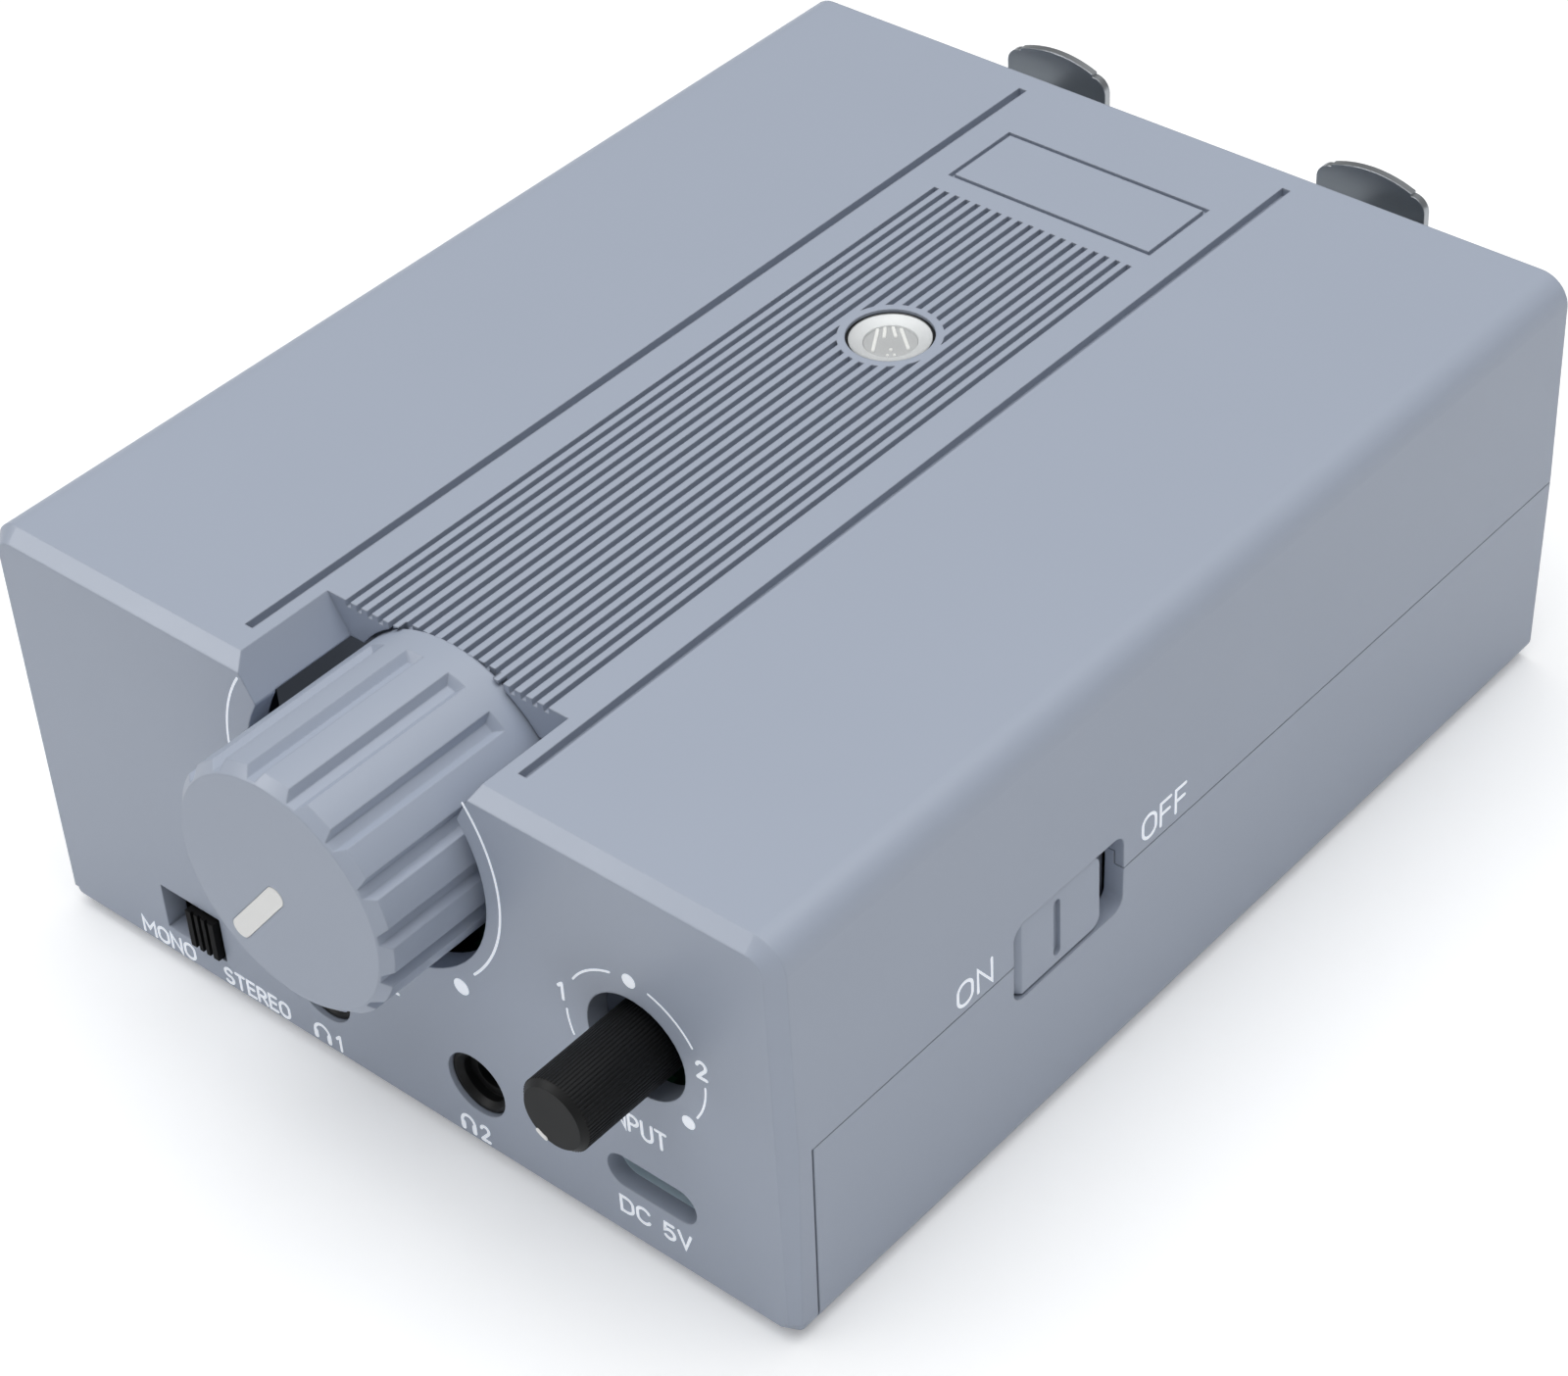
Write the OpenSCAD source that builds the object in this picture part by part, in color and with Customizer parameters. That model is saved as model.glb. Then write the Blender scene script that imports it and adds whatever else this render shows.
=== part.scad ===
// Headphone monitor amplifier: a small desk box with two knobs, two earphone
// sockets, a power inlet and two slide switches, and two line sockets behind.
// X runs right along the front, Y to the back and Z up.

/* [Body] */
// Width of the body
body_w = 100; // [96:1:115]
// Depth of the body, front face to rear face
body_d = 124; // [118:1:150]
// Height of the body without its feet
body_h = 48.8; // [48.2:0.2:52]
// Thickness of the shell walls
wall = 2.2; // [1.8:0.1:2.6]
// Thickness of the front wall
front_wall = 2.6; // [2.2:0.1:3]
// Radius of the long top edges
top_round = 3.3; // [2.6:0.1:4]
// Radius of the long bottom edges
bottom_round = 2; // [1.7:0.1:2.6]
// Chamfer round the front face
front_chamfer = 1.4; // [0.8:0.1:1.6]
// How far the sides lean in at the bottom
side_draft = 0.5; // [0.2:0.1:0.8]
// Height of the seam between the two shells
seam_z = 23.5; // [22:0.5:25]
// Depth of the front corners that belong to the upper shell
corner_depth = 3.1; // [2.7:0.1:4]

/* [Top pattern] */
// Number of fine grooves
rib_grooves = 19; // [9:2:19]
// Distance from groove to groove
rib_pitch = 1.4; // [1.2:0.05:1.5]
// Width of a fine groove
rib_gap = 0.62; // [0.4:0.02:0.8]
// Depth of a fine groove
rib_depth = 0.7; // [0.4:0.05:0.9]
// Where the fine grooves end towards the back
rib_end = 100.1; // [92:1:101]
// Distance of each long groove from the middle
groove_x = 17.4; // [16.8:0.1:19]
// Width of a long groove
groove_w = 1; // [0.6:0.1:1.2]
// Depth of a long groove
groove_depth = 0.9; // [0.5:0.1:1.1]
// Where the long grooves start
groove_start = 4.3; // [3:0.1:6]
// Plain strip behind the long grooves
groove_margin = 2.7; // [2:0.1:4]
// Width of the engraved frame
frame_w = 26.4; // [20:0.2:28]
// Depth of the engraved frame from front to back
frame_d = 10.6; // [8:0.2:11]
// Front edge of the engraved frame
frame_y = 102.8; // [102.4:0.1:104]
// Width of the engraved line
frame_line = 0.5; // [0.3:0.05:0.8]

/* [Volume knob] */
// Depth of the knob axis below the top face
volume_drop = 12.6; // [12.2:0.1:13.2]
// Radius of the knob
volume_r = 13.6; // [12.4:0.1:13.8]
// Radius of the round opening in the front
volume_hole_r = 15.25; // [14.8:0.05:16]
// How far both knobs stand out of the front face
knob_reach = 10.9; // [8:0.1:13]
// Depth of the notch in the top
notch_d = 12.45; // [12.2:0.05:13]
// Half the width of the notch at the top face
notch_top_x = 15.35; // [15:0.05:15.8]
// Half the width of the notch at its lower edge
notch_low_x = 12.95; // [12.6:0.05:13.4]
// How far the walls of the notch reach down from the top face
notch_h = 4.3; // [3.6:0.1:4.6]
// Number of flutes
flutes = 16; // [10:1:18]
// Width of a flute at the rim of the knob
flute_w = 2.3; // [1.4:0.1:2.8]
// Depth of a flute
flute_depth = 0.85; // [0.6:0.05:1.2]
// Length of the white pointer
pointer_len = 11.3; // [7:0.1:11.4]
// Width of the white pointer
pointer_w = 2.2; // [1.4:0.1:2.6]
// Radius of the volume shaft
volume_shaft_r = 3; // [2.5:0.1:3.2]

/* [Input knob] */
// Distance of the knob axis from the right side
input_side = 17.4; // [16.4:0.1:18]
// Depth of the knob axis below the top face
input_drop = 20.85; // [20.3:0.05:21.6]
// Radius of the knob
input_r = 3.95; // [3.4:0.05:4.3]
// Radius of the opening in the front
input_hole_r = 5.83; // [5.4:0.01:6.2]
// Radius of the input shaft
input_shaft_r = 1.5; // [1.2:0.05:1.8]

/* [Earphone sockets] */
// Distance of each socket from the middle
phones_x = 10.4; // [9.6:0.1:12]
// Height of the socket axis
phones_z = 9.3; // [9:0.1:9.8]
// Radius of the plug hole
phones_bore_r = 1.8; // [1.76:0.01:1.85]
// Radius of the hole in the front
phones_hole_r = 3.7; // [3.5:0.05:4.2]
// Length of the plug hole
phones_bore_l = 14; // [12:0.5:15]

/* [Power inlet] */
// Distance of the slot's middle from the right side
usb_side = 17.3; // [16.4:0.1:18]
// Height of the slot's middle
usb_z = 9.8; // [9.4:0.1:10.2]
// Width of the slot in the front
usb_slot_w = 10.95; // [10:0.05:11.6]
// Height of the slot in the front
usb_slot_h = 4.1; // [3.9:0.05:4.4]
// Width of the inlet's metal shell
usb_w = 8.94; // [8.6:0.02:9.2]
// Height of the inlet's metal shell
usb_h = 3.26; // [3.1:0.02:3.4]

/* [Mode switch] */
// Distance of the opening's middle from the left side
mode_edge = 20.7; // [20:0.1:22]
// Height of the opening's middle
mode_z = 7.55; // [7.3:0.05:7.8]
// Width of the opening
mode_w = 8.6; // [8:0.1:9.4]
// Height of the opening
mode_h = 5.7; // [5:0.1:5.9]
// Width of the lever
mode_lever_w = 4; // [3.4:0.1:4.3]
// Height of the lever
mode_lever_h = 4.8; // [4:0.1:4.9]

/* [Power switch] */
// Middle of the opening from the front face
power_y = 40.3; // [38:0.1:44]
// Height of the opening's middle
power_z = 23.15; // [22.6:0.05:23.6]
// Length of the opening
power_w = 16.8; // [15:0.1:18]
// Height of the opening
power_h = 9.45; // [8.6:0.05:9.8]
// Length of the sliding cap
power_cap_w = 13.1; // [11:0.1:13.4]

/* [Line sockets] */
// Distance of each socket from the middle
line_x = 21; // [19:0.1:22]
// How far the socket axis lies above half the body's height
line_rise = 0.6; // [0.2:0.1:1]
// Radius of the socket's metal barrel
line_r = 11.5; // [11:0.1:11.6]
// How far the barrel stands out of the rear face
line_reach = 7; // [5:0.1:7.2]
// Radius of the central plug hole
line_bore_r = 3.2; // [3.18:0.01:3.25]
// Length of the central plug hole
line_bore_l = 30; // [26:0.5:32]
// Radius of the black insert
line_insert_r = 7.9; // [7.6:0.05:8.2]
// Width of the mounting flange
flange_w = 26; // [25.4:0.1:27]
// Height of the mounting flange
flange_h = 32; // [31.8:0.1:32.6]

/* [Release tabs] */
// Width of a tab
tab_w = 13.7; // [10:0.1:15]
// Depth of the tab's top edge below the top face
tab_drop = 1.9; // [0.8:0.1:3.8]
// How far the tab's outer face stands behind the rear face
tab_reach = 8.9; // [8.4:0.1:10]
// Thickness of a tab
tab_t = 0.9; // [0.7:0.05:1.2]
// Travel of a tab when it is pressed
tab_travel = 1.5; // [1:0.1:1.5]

/* [Boards] */
// Thickness of a circuit board
board_t = 1.6; // [1.2:0.1:1.8]
// Clear space on each side of the main board
board_side = 11; // [10:0.25:12]
// Front edge of the main board
board_front = 9; // [8.8:0.1:10]
// Clear height below the main board
board_lift = 2; // [1.6:0.1:2.2]
// Front face of the sub panel behind the front wall
panel_y = 14.3; // [14.2:0.1:15]
// Thickness of the sub panel
panel_t = 1.9; // [1.5:0.1:2.4]
// Depth of the volume control's can
pot_d = 7.8; // [6:0.1:9]

/* [Status light] */
// Distance of the lens from the front face
lens_y = 75.9; // [70:0.1:80]
// Radius of the lens
lens_r = 4.3; // [3.6:0.1:4.6]
// Width of the dark ring round the lens
lens_ring_w = 0.3; // [0.2:0.05:0.4]
// Radius of the plain collar where the fine grooves stop
collar_r = 5.45; // [5.3:0.05:6]

/* [Feet and screws] */
// Radius of a rubber foot
foot_r = 5; // [4:0.1:6]
// How far a foot stands out below the body
foot_out = 0.6; // [0.4:0.1:1.2]
// Radius of a case screw's shank
case_screw_r = 1.4; // [1.2:0.05:1.5]
// Radius of a small screw's shank
small_screw_r = 1; // [0.8:0.05:1.1]

/* [Fits] */
// Hairline gap along the seam of the shells
seam_gap = 0.1; // [0.06:0.02:0.3]
// Gap behind the front corners and along the foot of the rear wall
corner_gap = 0.25; // [0.15:0.05:0.35]
// Gap round a piece that slides in an opening
slide_gap = 0.3; // [0.25:0.01:0.35]
// Radial clearance of a turning shaft in its bushing
run_gap = 0.05; // [0.03:0.01:0.08]
// Radial clearance of a piece pushed into its seat
seat_gap = 0.02; // [0.01:0.01:0.04]

/* [Hidden] */
$fn = 96;

// One overrun that every cut uses to clear the face it starts from
over = 0.5;
// Colours as the photograph shows them
shell_colour = "#9aa2b0";
dark_colour = "#1c1d1f";
metal_colour = "#c2c4c6";
board_colour = "#1f4a34";

rear_in = body_d - wall;
roof_in = body_h - wall;
floor_top = wall;
side_in = body_w / 2 - wall;

// Places that keep their distance from the faces of the body
volume_z = body_h - volume_drop;
input_x = body_w / 2 - input_side;
input_z = body_h - input_drop;
usb_x = body_w / 2 - usb_side;
mode_x = body_w / 2 - mode_edge;
line_z = body_h / 2 + line_rise;
tab_top = body_h - tab_drop;
board_w = body_w - 2 * board_side;

// Tongue of the lower shell that closes the seam from inside
tongue_h = 1.5;
tongue_t = wall / 2 - seam_gap / 2;
// Strip of the rear wall's lower edge to the floor
rear_foot_gap = corner_gap;

// Bosses that take the case screws
case_boss_r = 2.9;
case_boss_side = 6.1;
case_boss_x = body_w / 2 - case_boss_side;
case_boss_front = 9.2;
case_boss_rear = 12;
case_boss_back = body_d - case_boss_rear;
case_places = [
    [case_boss_x, case_boss_front], [-case_boss_x, case_boss_front],
    [case_boss_x, case_boss_back], [-case_boss_x, case_boss_back],
];
case_head_r = 2.5;
case_head_h = 1.2;
case_screw_l = 12;
screw_slot_w = 0.6;
screw_slot_share = 0.6;

// Feet stand in shallow pockets of the floor
foot_in = 0.7;
foot_side = 12;
foot_front = 22;
foot_rear = 24;
foot_x = body_w / 2 - foot_side;
foot_back = body_d - foot_rear;
foot_places = [
    [foot_x, foot_front], [-foot_x, foot_front],
    [foot_x, foot_back], [-foot_x, foot_back],
];

// Bosses on the front wall that carry the sub panel
panel_boss_r = 2.7;
panel_boss_x = 24;
panel_boss_drop = 7.3;
panel_boss_high = body_h - panel_boss_drop;
panel_boss_low_x = 22;
panel_boss_low = 18.8;
panel_places = [
    [panel_boss_x, panel_boss_high], [-panel_boss_x, panel_boss_high],
    [panel_boss_low_x, panel_boss_low], [-panel_boss_low_x, panel_boss_low],
];
panel_half_w = 28;
panel_side = 9;
panel_right = body_w / 2 - panel_side;
panel_low = 15.6;
panel_drop = 3.4;
panel_high = body_h - panel_drop;
panel_screw_l = 6;
small_head_r = 1.9;
small_head_h = 1.1;

// Main board and what stands on it
board_low = floor_top + board_lift;
board_top = board_low + board_t;
board_rear_gap = 6.5;
board_back = body_d - board_rear_gap;
board_boss_r = 3;
board_screw_l = 3.2;
board_hole_side = 5.5;
board_hole_x = board_w / 2 - board_hole_side;
board_hole_front = 30;
board_hole_rear = 40;
board_hole_back = body_d - board_hole_rear;
board_places = [
    [board_hole_x, board_hole_front], [-board_hole_x, board_hole_front],
    [board_hole_x, board_hole_back], [-board_hole_x, board_hole_back],
];
chip_w = 7.4;
chip_d = 10.2;
chip_h = 1.8;
// Places on the main board as shares of its width and of the body's depth
chip_shares = [[-0.18, 0.48], [0.18, 0.48], [0, 0.6]];
cap_r = 4;
cap_h = 10.5;
cap_shares = [
    [-0.31, 0.37], [-0.17, 0.37], [-0.03, 0.37],
    [-0.31, 0.61], [0.26, 0.36], [0.31, 0.56],
];

// Volume control
notch_wall = 1.8;
notch_low = body_h - notch_h;
// The knob's rear end turns in a round pocket of the notch's rear wall
knob_gap = 0.35;
knob_in = 0.75;
volume_back = notch_d + knob_in;
volume_rear_edge = 0.3;
volume_chamfer = 1;
flute_floor_w = 1;
flute_stop = 2.9;
flute_turn = 16.8;
flute_slant = 0.9;
pointer_start = 0;
pointer_depth = 0.6;
pointer_proud = 0.05;
pointer_turn = 230.8;
volume_shaft_front = -6;
shaft_flat = 0.75;
bushing_wall = 1.5;
volume_bushing_r = volume_shaft_r + bushing_wall;
input_bushing_r = input_shaft_r + bushing_wall;
nut_h = 1.7;
nut_wall = 1.6;
// The knob's rear is hollow round the nut and the bushing
hollow_floor = panel_y - nut_h - 2 * knob_gap;
hollow_r = volume_bushing_r + nut_wall + knob_gap;
bushing_front = hollow_floor + knob_gap;
volume_can_r = 8.4;
pot_back = panel_y + panel_t + pot_d;
shaft_end_gap = 0.3;
pot_floor_t = 1;
shaft_end = pot_back - pot_floor_t;

// Input control
input_back = 11.4;
input_chamfer = 0.6;
input_shaft_front = -5;
input_bushing_front = 11.8;
input_can = 10;

// Vertical board behind the two controls
control_left = 14;
control_drop = 4.4;
control_high = body_h - control_drop;

// Earphone sockets
phones_face = 0.5;
phones_nose_gap = 0.15;
phones_nose_r = phones_hole_r - phones_nose_gap;
phones_flare_r = 3.2;
phones_flare_d = 0.6;
phones_cup_r = 2.7;
phones_cup_d = 1.5;
phones_body_w = 8.4;
phones_body_up = 4.2;
phones_body_top = phones_z + phones_body_up;
phones_end_t = 1.2;
phones_body_back = phones_face + phones_cup_d + phones_bore_l + phones_end_t;

// Power inlet
usb_lead = 0.1;
usb_front = front_wall + usb_lead;
usb_length = 10.4;
usb_back = usb_front + usb_length;
usb_skin = 0.3;
usb_tongue_sunk = 1;
usb_depth = 7;
usb_tongue_w = 6.7;
usb_tongue_h = 0.7;
usb_tongue_front = usb_front + usb_tongue_sunk;
usb_floor_back = usb_front + usb_depth;
usb_base_w = 9.6;

// Mode switch
mode_body_w = 12;
mode_body_back = 8.7;
mode_well = 3.6;
mode_lever_out = 0.75;
mode_stem_w = 2.4;
mode_stem_h = 2.2;
mode_rest_x = -mode_x + mode_w / 2 - slide_gap - mode_lever_w / 2;
mode_ridge = 0.5;
mode_ridge_d = 0.35;
mode_ridges = 3;
mode_side = 0.6;

// Power switch
power_round = 1.5;
power_sunk = 0.3;
power_flange_t = 1;
power_flange_over = 1.1;
power_rest = 0.1;
power_travel = power_w - power_cap_w - 2 * slide_gap - power_rest;
power_cap_y = power_y - power_w / 2 + slide_gap + power_cap_w / 2;
power_cap_h = power_h - 2 * slide_gap;
power_mark_w = 1;
power_mark_h = 6.9;
power_mark_d = 0.5;
power_nose = 1.7;
power_stem_w = 3;
power_body_w = 12.4;
power_body_h = 12;
power_body_sunk = 5;
power_body_out = body_w / 2 - power_body_sunk;
power_stem_sunk = 6;
power_stem_in = body_w / 2 - power_stem_sunk;
switch_board_x = board_w / 2 - board_t;
switch_board_w = 17;
switch_board_high = 30;

// Line sockets
line_hole_gap = 0.3;
line_skin = 1.8;
barrel_in = 16;
insert_sunk = 1.6;
pin_circle = 5.75;
pin_hole_r = 1.2;
pin_wall = 0.3;
pin_depth = 12;
pin_sunk = 1;
line_block_w = 24;
line_block_h = 12;
line_block_back = 4;
flange_t = 1.8;
flange_round = 2.6;
flange_screw_x = 9.6;
flange_screw_z = 12.4;
socket_screw_r = 1.4;
socket_head_r = 2.5;
socket_head_h = 1.5;
socket_screw_l = 7;

// Release tabs
stem_w = 7.2;
stem_t = 1.3;
stem_gap = 0.25;
stem_low = line_z + line_r + tab_travel + slide_gap;
stem_in = 9;
tab_crown_r = 13.5;
tab_corner_r = 1.8;
tab_shoulder = 1.25;

// Status light
lens_x = rib_pitch / 2;
lens_h = 1.6;
lens_dome = 0.35;
reflector_drop = 5.6;
reflector_low = body_h - reflector_drop;
reflector_skin = 0.6;
reflector_low_r = 1.9;
led_w = 3;
led_h = 0.9;
led_board_high = reflector_low - led_h;
led_board_t = 1.2;
led_board_w = 26;
led_board_d = 10;
led_boss_x = 9.5;
led_boss_r = 2.3;
led_screw_l = 4;

// The rearmost and frontmost faces set where the middle of the footprint lies
front_y = (knob_reach + pointer_proud - body_d - tab_reach) / 2;

// Places the model so that the middle of its footprint is at the origin and its feet at zero
module at_home() {
    translate([0, front_y, foot_out]) children();
}

// Extrudes a profile drawn in X and Z from one Y to another
module along_y(from, to) {
    translate([0, to, 0]) rotate([90, 0, 0]) linear_extrude(to - from) children();
}

// Extrudes a profile drawn in Y and Z from one X to another
module along_x(from, to) {
    translate([from, 0, 0]) rotate([90, 0, 90]) linear_extrude(to - from) children();
}

// A round rod or cone along Y
module rod_y(x, z, r, from, to, r_to = undef) {
    translate([x, from, z]) rotate([-90, 0, 0])
        cylinder(r1 = r, r2 = is_undef(r_to) ? r : r_to, h = to - from);
}

// A rectangle with round corners, centred
module round_rect(w, h, r) {
    square([w - 2 * r, h], center = true);
    square([w, h - 2 * r], center = true);
    for (sx = [-1, 1], sz = [-1, 1]) {
        translate([sx * (w / 2 - r), sz * (h / 2 - r)]) circle(r);
    }
}

// A slot with half-round ends, centred
module round_slot(w, h) {
    square([w - h, h], center = true);
    for (sx = [-1, 1]) {
        translate([sx * (w - h) / 2, 0]) circle(h / 2);
    }
}

// The body's outline seen from the front, drawn in by a wall
module front_outline(inset) {
    half = body_w / 2 - inset;
    top = body_h - inset;
    round_up = top_round - inset;
    round_down = max(bottom_round - inset, over);
    lean = side_draft;
    translate([-half + round_up, seam_z]) square([2 * (half - round_up), top - seam_z]);
    translate([-half, seam_z]) square([2 * half, top - round_up - seam_z]);
    polygon([
        [-half, seam_z + over], [-half, seam_z],
        [-half + lean, inset + round_down], [-half + lean + round_down, inset],
        [half - lean - round_down, inset], [half - lean, inset + round_down],
        [half, seam_z], [half, seam_z + over],
    ]);
    for (side = [-1, 1]) {
        translate([side * (half - round_up), top - round_up]) circle(round_up);
        translate([side * (half - lean - round_down), inset + round_down]) circle(round_down);
    }
}

// The outer form of the body, with a chamfer round the front face
module body_form() {
    c = front_chamfer;
    up_x = body_w / 2 - top_round;
    up_z = body_h - top_round;
    down_x = body_w / 2 - side_draft - bottom_round;
    along_y(c, body_d) front_outline(0);
    for (side = [-1, 1]) {
        rod_y(side * up_x, up_z, top_round - c, 0, c, top_round);
        rod_y(side * down_x, bottom_round, bottom_round - c, 0, c, bottom_round);
    }
    // Faces above and below, chamfered along X
    along_x(-up_x, up_x) polygon([[0, seam_z], [0, body_h - c], [c, body_h], [c, seam_z]]);
    along_x(-down_x, down_x) polygon([[0, seam_z], [0, c], [c, 0], [c, seam_z]]);
    // Faces at the sides, chamfered along Z
    front_side(up_z, seam_z, 0);
    front_side(seam_z, bottom_round, side_draft);
}

// One height band of the chamfered front, leaning in at its lower end
module front_side(high, low, lean) {
    c = front_chamfer;
    half = body_w / 2;
    intersection() {
        translate([0, 0, low]) linear_extrude(high - low)
            polygon([[-half + c, 0], [half - c, 0], [half, c], [-half, c]]);
        if (lean > 0) {
            chamfer_lean();
        } else {
            translate([-half, 0, low]) cube([body_w, c, high - low]);
        }
    }
}

// A leaning wedge that trims the chamfered front below the seam
module chamfer_lean() {
    c = front_chamfer;
    half = body_w / 2;
    lean = side_draft;
    along_y(0, c)
        polygon([
            [-half, seam_z], [-half + lean, bottom_round],
            [half - lean, bottom_round], [half, seam_z],
        ]);
}

// The space inside the shells
module body_space() {
    along_y(front_wall, rear_in) front_outline(wall);
}

// The space below the seam and behind the front corners, drawn in by a gap at each
module lower_region(under, behind) {
    low_cut = seam_z - under;
    translate([-body_w, corner_depth + behind, -over])
        cube([2 * body_w, body_d, low_cut + over]);
}

// The long and fine grooves and the frame engraved in the top face
module top_pattern() {
    cut_z = body_h - rib_depth;
    groove_end = body_d - groove_margin;
    difference() {
        for (i = [0 : rib_grooves - 1]) {
            x = (i - (rib_grooves - 1) / 2) * rib_pitch;
            translate([x - rib_gap / 2, notch_d - over, cut_z])
                cube([rib_gap, rib_end - notch_d + over, rib_depth + over]);
        }
        translate([lens_x, lens_y, cut_z - over]) cylinder(r = collar_r, h = rib_depth + 3 * over);
    }
    for (side = [-1, 1]) {
        translate([side * groove_x - groove_w / 2, groove_start, body_h - groove_depth])
            cube([groove_w, groove_end - groove_start, groove_depth + over]);
    }
    translate([0, frame_y + frame_d / 2, body_h - frame_line]) linear_extrude(frame_line + over)
        difference() {
            square([frame_w, frame_d], center = true);
            square([frame_w - 2 * frame_line, frame_d - 2 * frame_line], center = true);
        }
}

// The slanted notch profile seen from the front
module notch_profile() {
    rise = over * (notch_top_x - notch_low_x) / notch_h;
    polygon([
        [-notch_low_x, notch_low - over], [-notch_low_x, notch_low],
        [-notch_top_x - rise, body_h + over], [notch_top_x + rise, body_h + over],
        [notch_low_x, notch_low], [notch_low_x, notch_low - over],
    ]);
}

// Everything that is cut through the front wall
module front_openings() {
    rod_y(0, volume_z, volume_hole_r, -over, front_wall + over);
    rod_y(input_x, input_z, input_hole_r, -over, front_wall + over);
    for (side = [-1, 1]) rod_y(side * phones_x, phones_z, phones_hole_r, -over, front_wall + over);
    along_y(-over, front_wall + over) translate([usb_x, usb_z]) round_slot(usb_slot_w, usb_slot_h);
    along_y(-over, front_wall + over) translate([-mode_x, mode_z]) square([mode_w, mode_h], center = true);
}

// Everything that is cut through the rear wall
module rear_openings() {
    for (side = [-1, 1]) {
        rod_y(side * line_x, line_z, line_r + line_hole_gap, rear_in - over, body_d + over);
        tab_slot(side, rear_in - over, body_d + over);
        for (k = [-1, 1]) {
            rod_y(side * line_x + k * flange_screw_x, line_z + k * flange_screw_z,
                socket_screw_r + seat_gap, rear_in - over, body_d + over);
        }
    }
}

// The slot that a release tab's stem moves in
module tab_slot(side, from, to) {
    low = stem_low - tab_travel - stem_gap;
    high = stem_low + stem_t + stem_gap;
    translate([side * line_x - stem_w / 2 - stem_gap, from, low])
        cube([stem_w + 2 * stem_gap, to - from, high - low]);
}

// The opening in the right side that the sliding cap shows through
module power_opening() {
    along_x(side_in - side_draft - over, body_w / 2 + over)
        translate([power_y, power_z]) round_rect(power_w, power_h, power_round);
}

// Upper shell with front and rear walls, the notch and all screw bosses
module top_shell() {
    color(shell_colour) at_home() difference() {
        union() {
            difference() {
                body_form();
                body_space();
                lower_region(0, 0);
            }
            // Rear wall down to the floor, between the skirts of the lower shell
            translate([-side_in + side_draft + corner_gap, rear_in, floor_top + rear_foot_gap])
                cube([2 * (side_in - side_draft - corner_gap), wall, seam_z + wall - floor_top]);
            notch_walls();
            for (p = case_places) {
                translate([p[0], p[1], floor_top]) cylinder(r = case_boss_r, h = roof_in + over - floor_top);
            }
            for (p = panel_places) rod_y(p[0], p[1], panel_boss_r, front_wall - over, panel_y);
            for (side = [-1, 1]) {
                translate([lens_x + side * led_boss_x, lens_y, led_board_high])
                    cylinder(r = led_boss_r, h = roof_in + over - led_board_high);
            }
        }
        front_openings();
        rear_openings();
        power_opening();
        tongue_rebate();
        along_y(-over, notch_d) notch_profile();
        rod_y(0, volume_z, volume_r + knob_gap, notch_d - over, volume_back + knob_gap);
        top_pattern();
        translate([lens_x, lens_y, roof_in - over]) cylinder(r = lens_r + lens_ring_w, h = wall + 2 * over);
        for (p = case_places) {
            translate([p[0], p[1], floor_top - over])
                cylinder(r = case_screw_r + seat_gap, h = case_screw_l + over);
        }
        for (p = panel_places) {
            rod_y(p[0], p[1], small_screw_r + seat_gap, panel_y - panel_screw_l, panel_y + over);
        }
        for (side = [-1, 1]) {
            translate([lens_x + side * led_boss_x, lens_y, led_board_high - over])
                cylinder(r = small_screw_r + seat_gap, h = led_screw_l - led_board_t + over);
        }
    }
}

// The walls that hang down round the notch in the top
module notch_walls() {
    half = notch_top_x + notch_wall;
    translate([-half, front_wall - over, notch_low])
        cube([2 * half, notch_d + notch_wall - front_wall + over, roof_in + over - notch_low]);
}

// The step inside the upper shell's sides that the lower shell's tongue fills
module tongue_rebate() {
    for (side = [-1, 1]) {
        x_in = side_in - over;
        x_out = side_in + tongue_t + seam_gap;
        translate([side > 0 ? x_in : -x_out, corner_depth, seam_z - over])
            cube([x_out - x_in, rear_in - corner_depth, tongue_h + seam_gap + over]);
    }
}

// Lower shell: floor and the two side skirts with a tongue along each
module bottom_shell() {
    tongue_y = corner_depth + corner_gap;
    color(shell_colour) at_home() difference() {
        union() {
            intersection() {
                difference() {
                    along_y(front_chamfer, body_d) front_outline(0);
                    along_y(0, body_d + over) front_outline(wall);
                }
                lower_region(seam_gap, corner_gap);
            }
            for (side = [-1, 1]) {
                x_in = side_in;
                x_out = side_in + tongue_t;
                translate([side > 0 ? x_in : -x_out, front_wall + corner_gap + tongue_y, seam_z - wall])
                    cube([tongue_t, rear_in - 2 * tongue_y - front_wall, wall + tongue_h]);
            }
            for (p = board_places) {
                translate([p[0], p[1], floor_top - over]) cylinder(r = board_boss_r, h = board_lift + over);
            }
        }
        power_opening();
        for (p = case_places) {
            translate([p[0], p[1], -over]) cylinder(r = case_screw_r + 2 * seat_gap, h = wall + 2 * over);
            translate([p[0], p[1], -over]) cylinder(r = case_head_r + slide_gap, h = case_head_h + over);
        }
        for (p = board_places) {
            translate([p[0], p[1], board_low - board_screw_l + board_t])
                cylinder(r = small_screw_r + seat_gap, h = board_screw_l);
        }
        for (p = foot_places) translate([p[0], p[1], -over]) cylinder(r = foot_r + seat_gap, h = foot_in + over);
    }
}

// Four rubber feet with a chamfered lower edge
module rubber_feet() {
    edge = foot_out / 2;
    color("#262728") at_home() for (p = foot_places) {
        translate([p[0], p[1], -foot_out]) cylinder(r1 = foot_r - edge, r2 = foot_r, h = edge);
        translate([p[0], p[1], edge - foot_out]) cylinder(r = foot_r, h = foot_out - edge + foot_in);
    }
}

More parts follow.
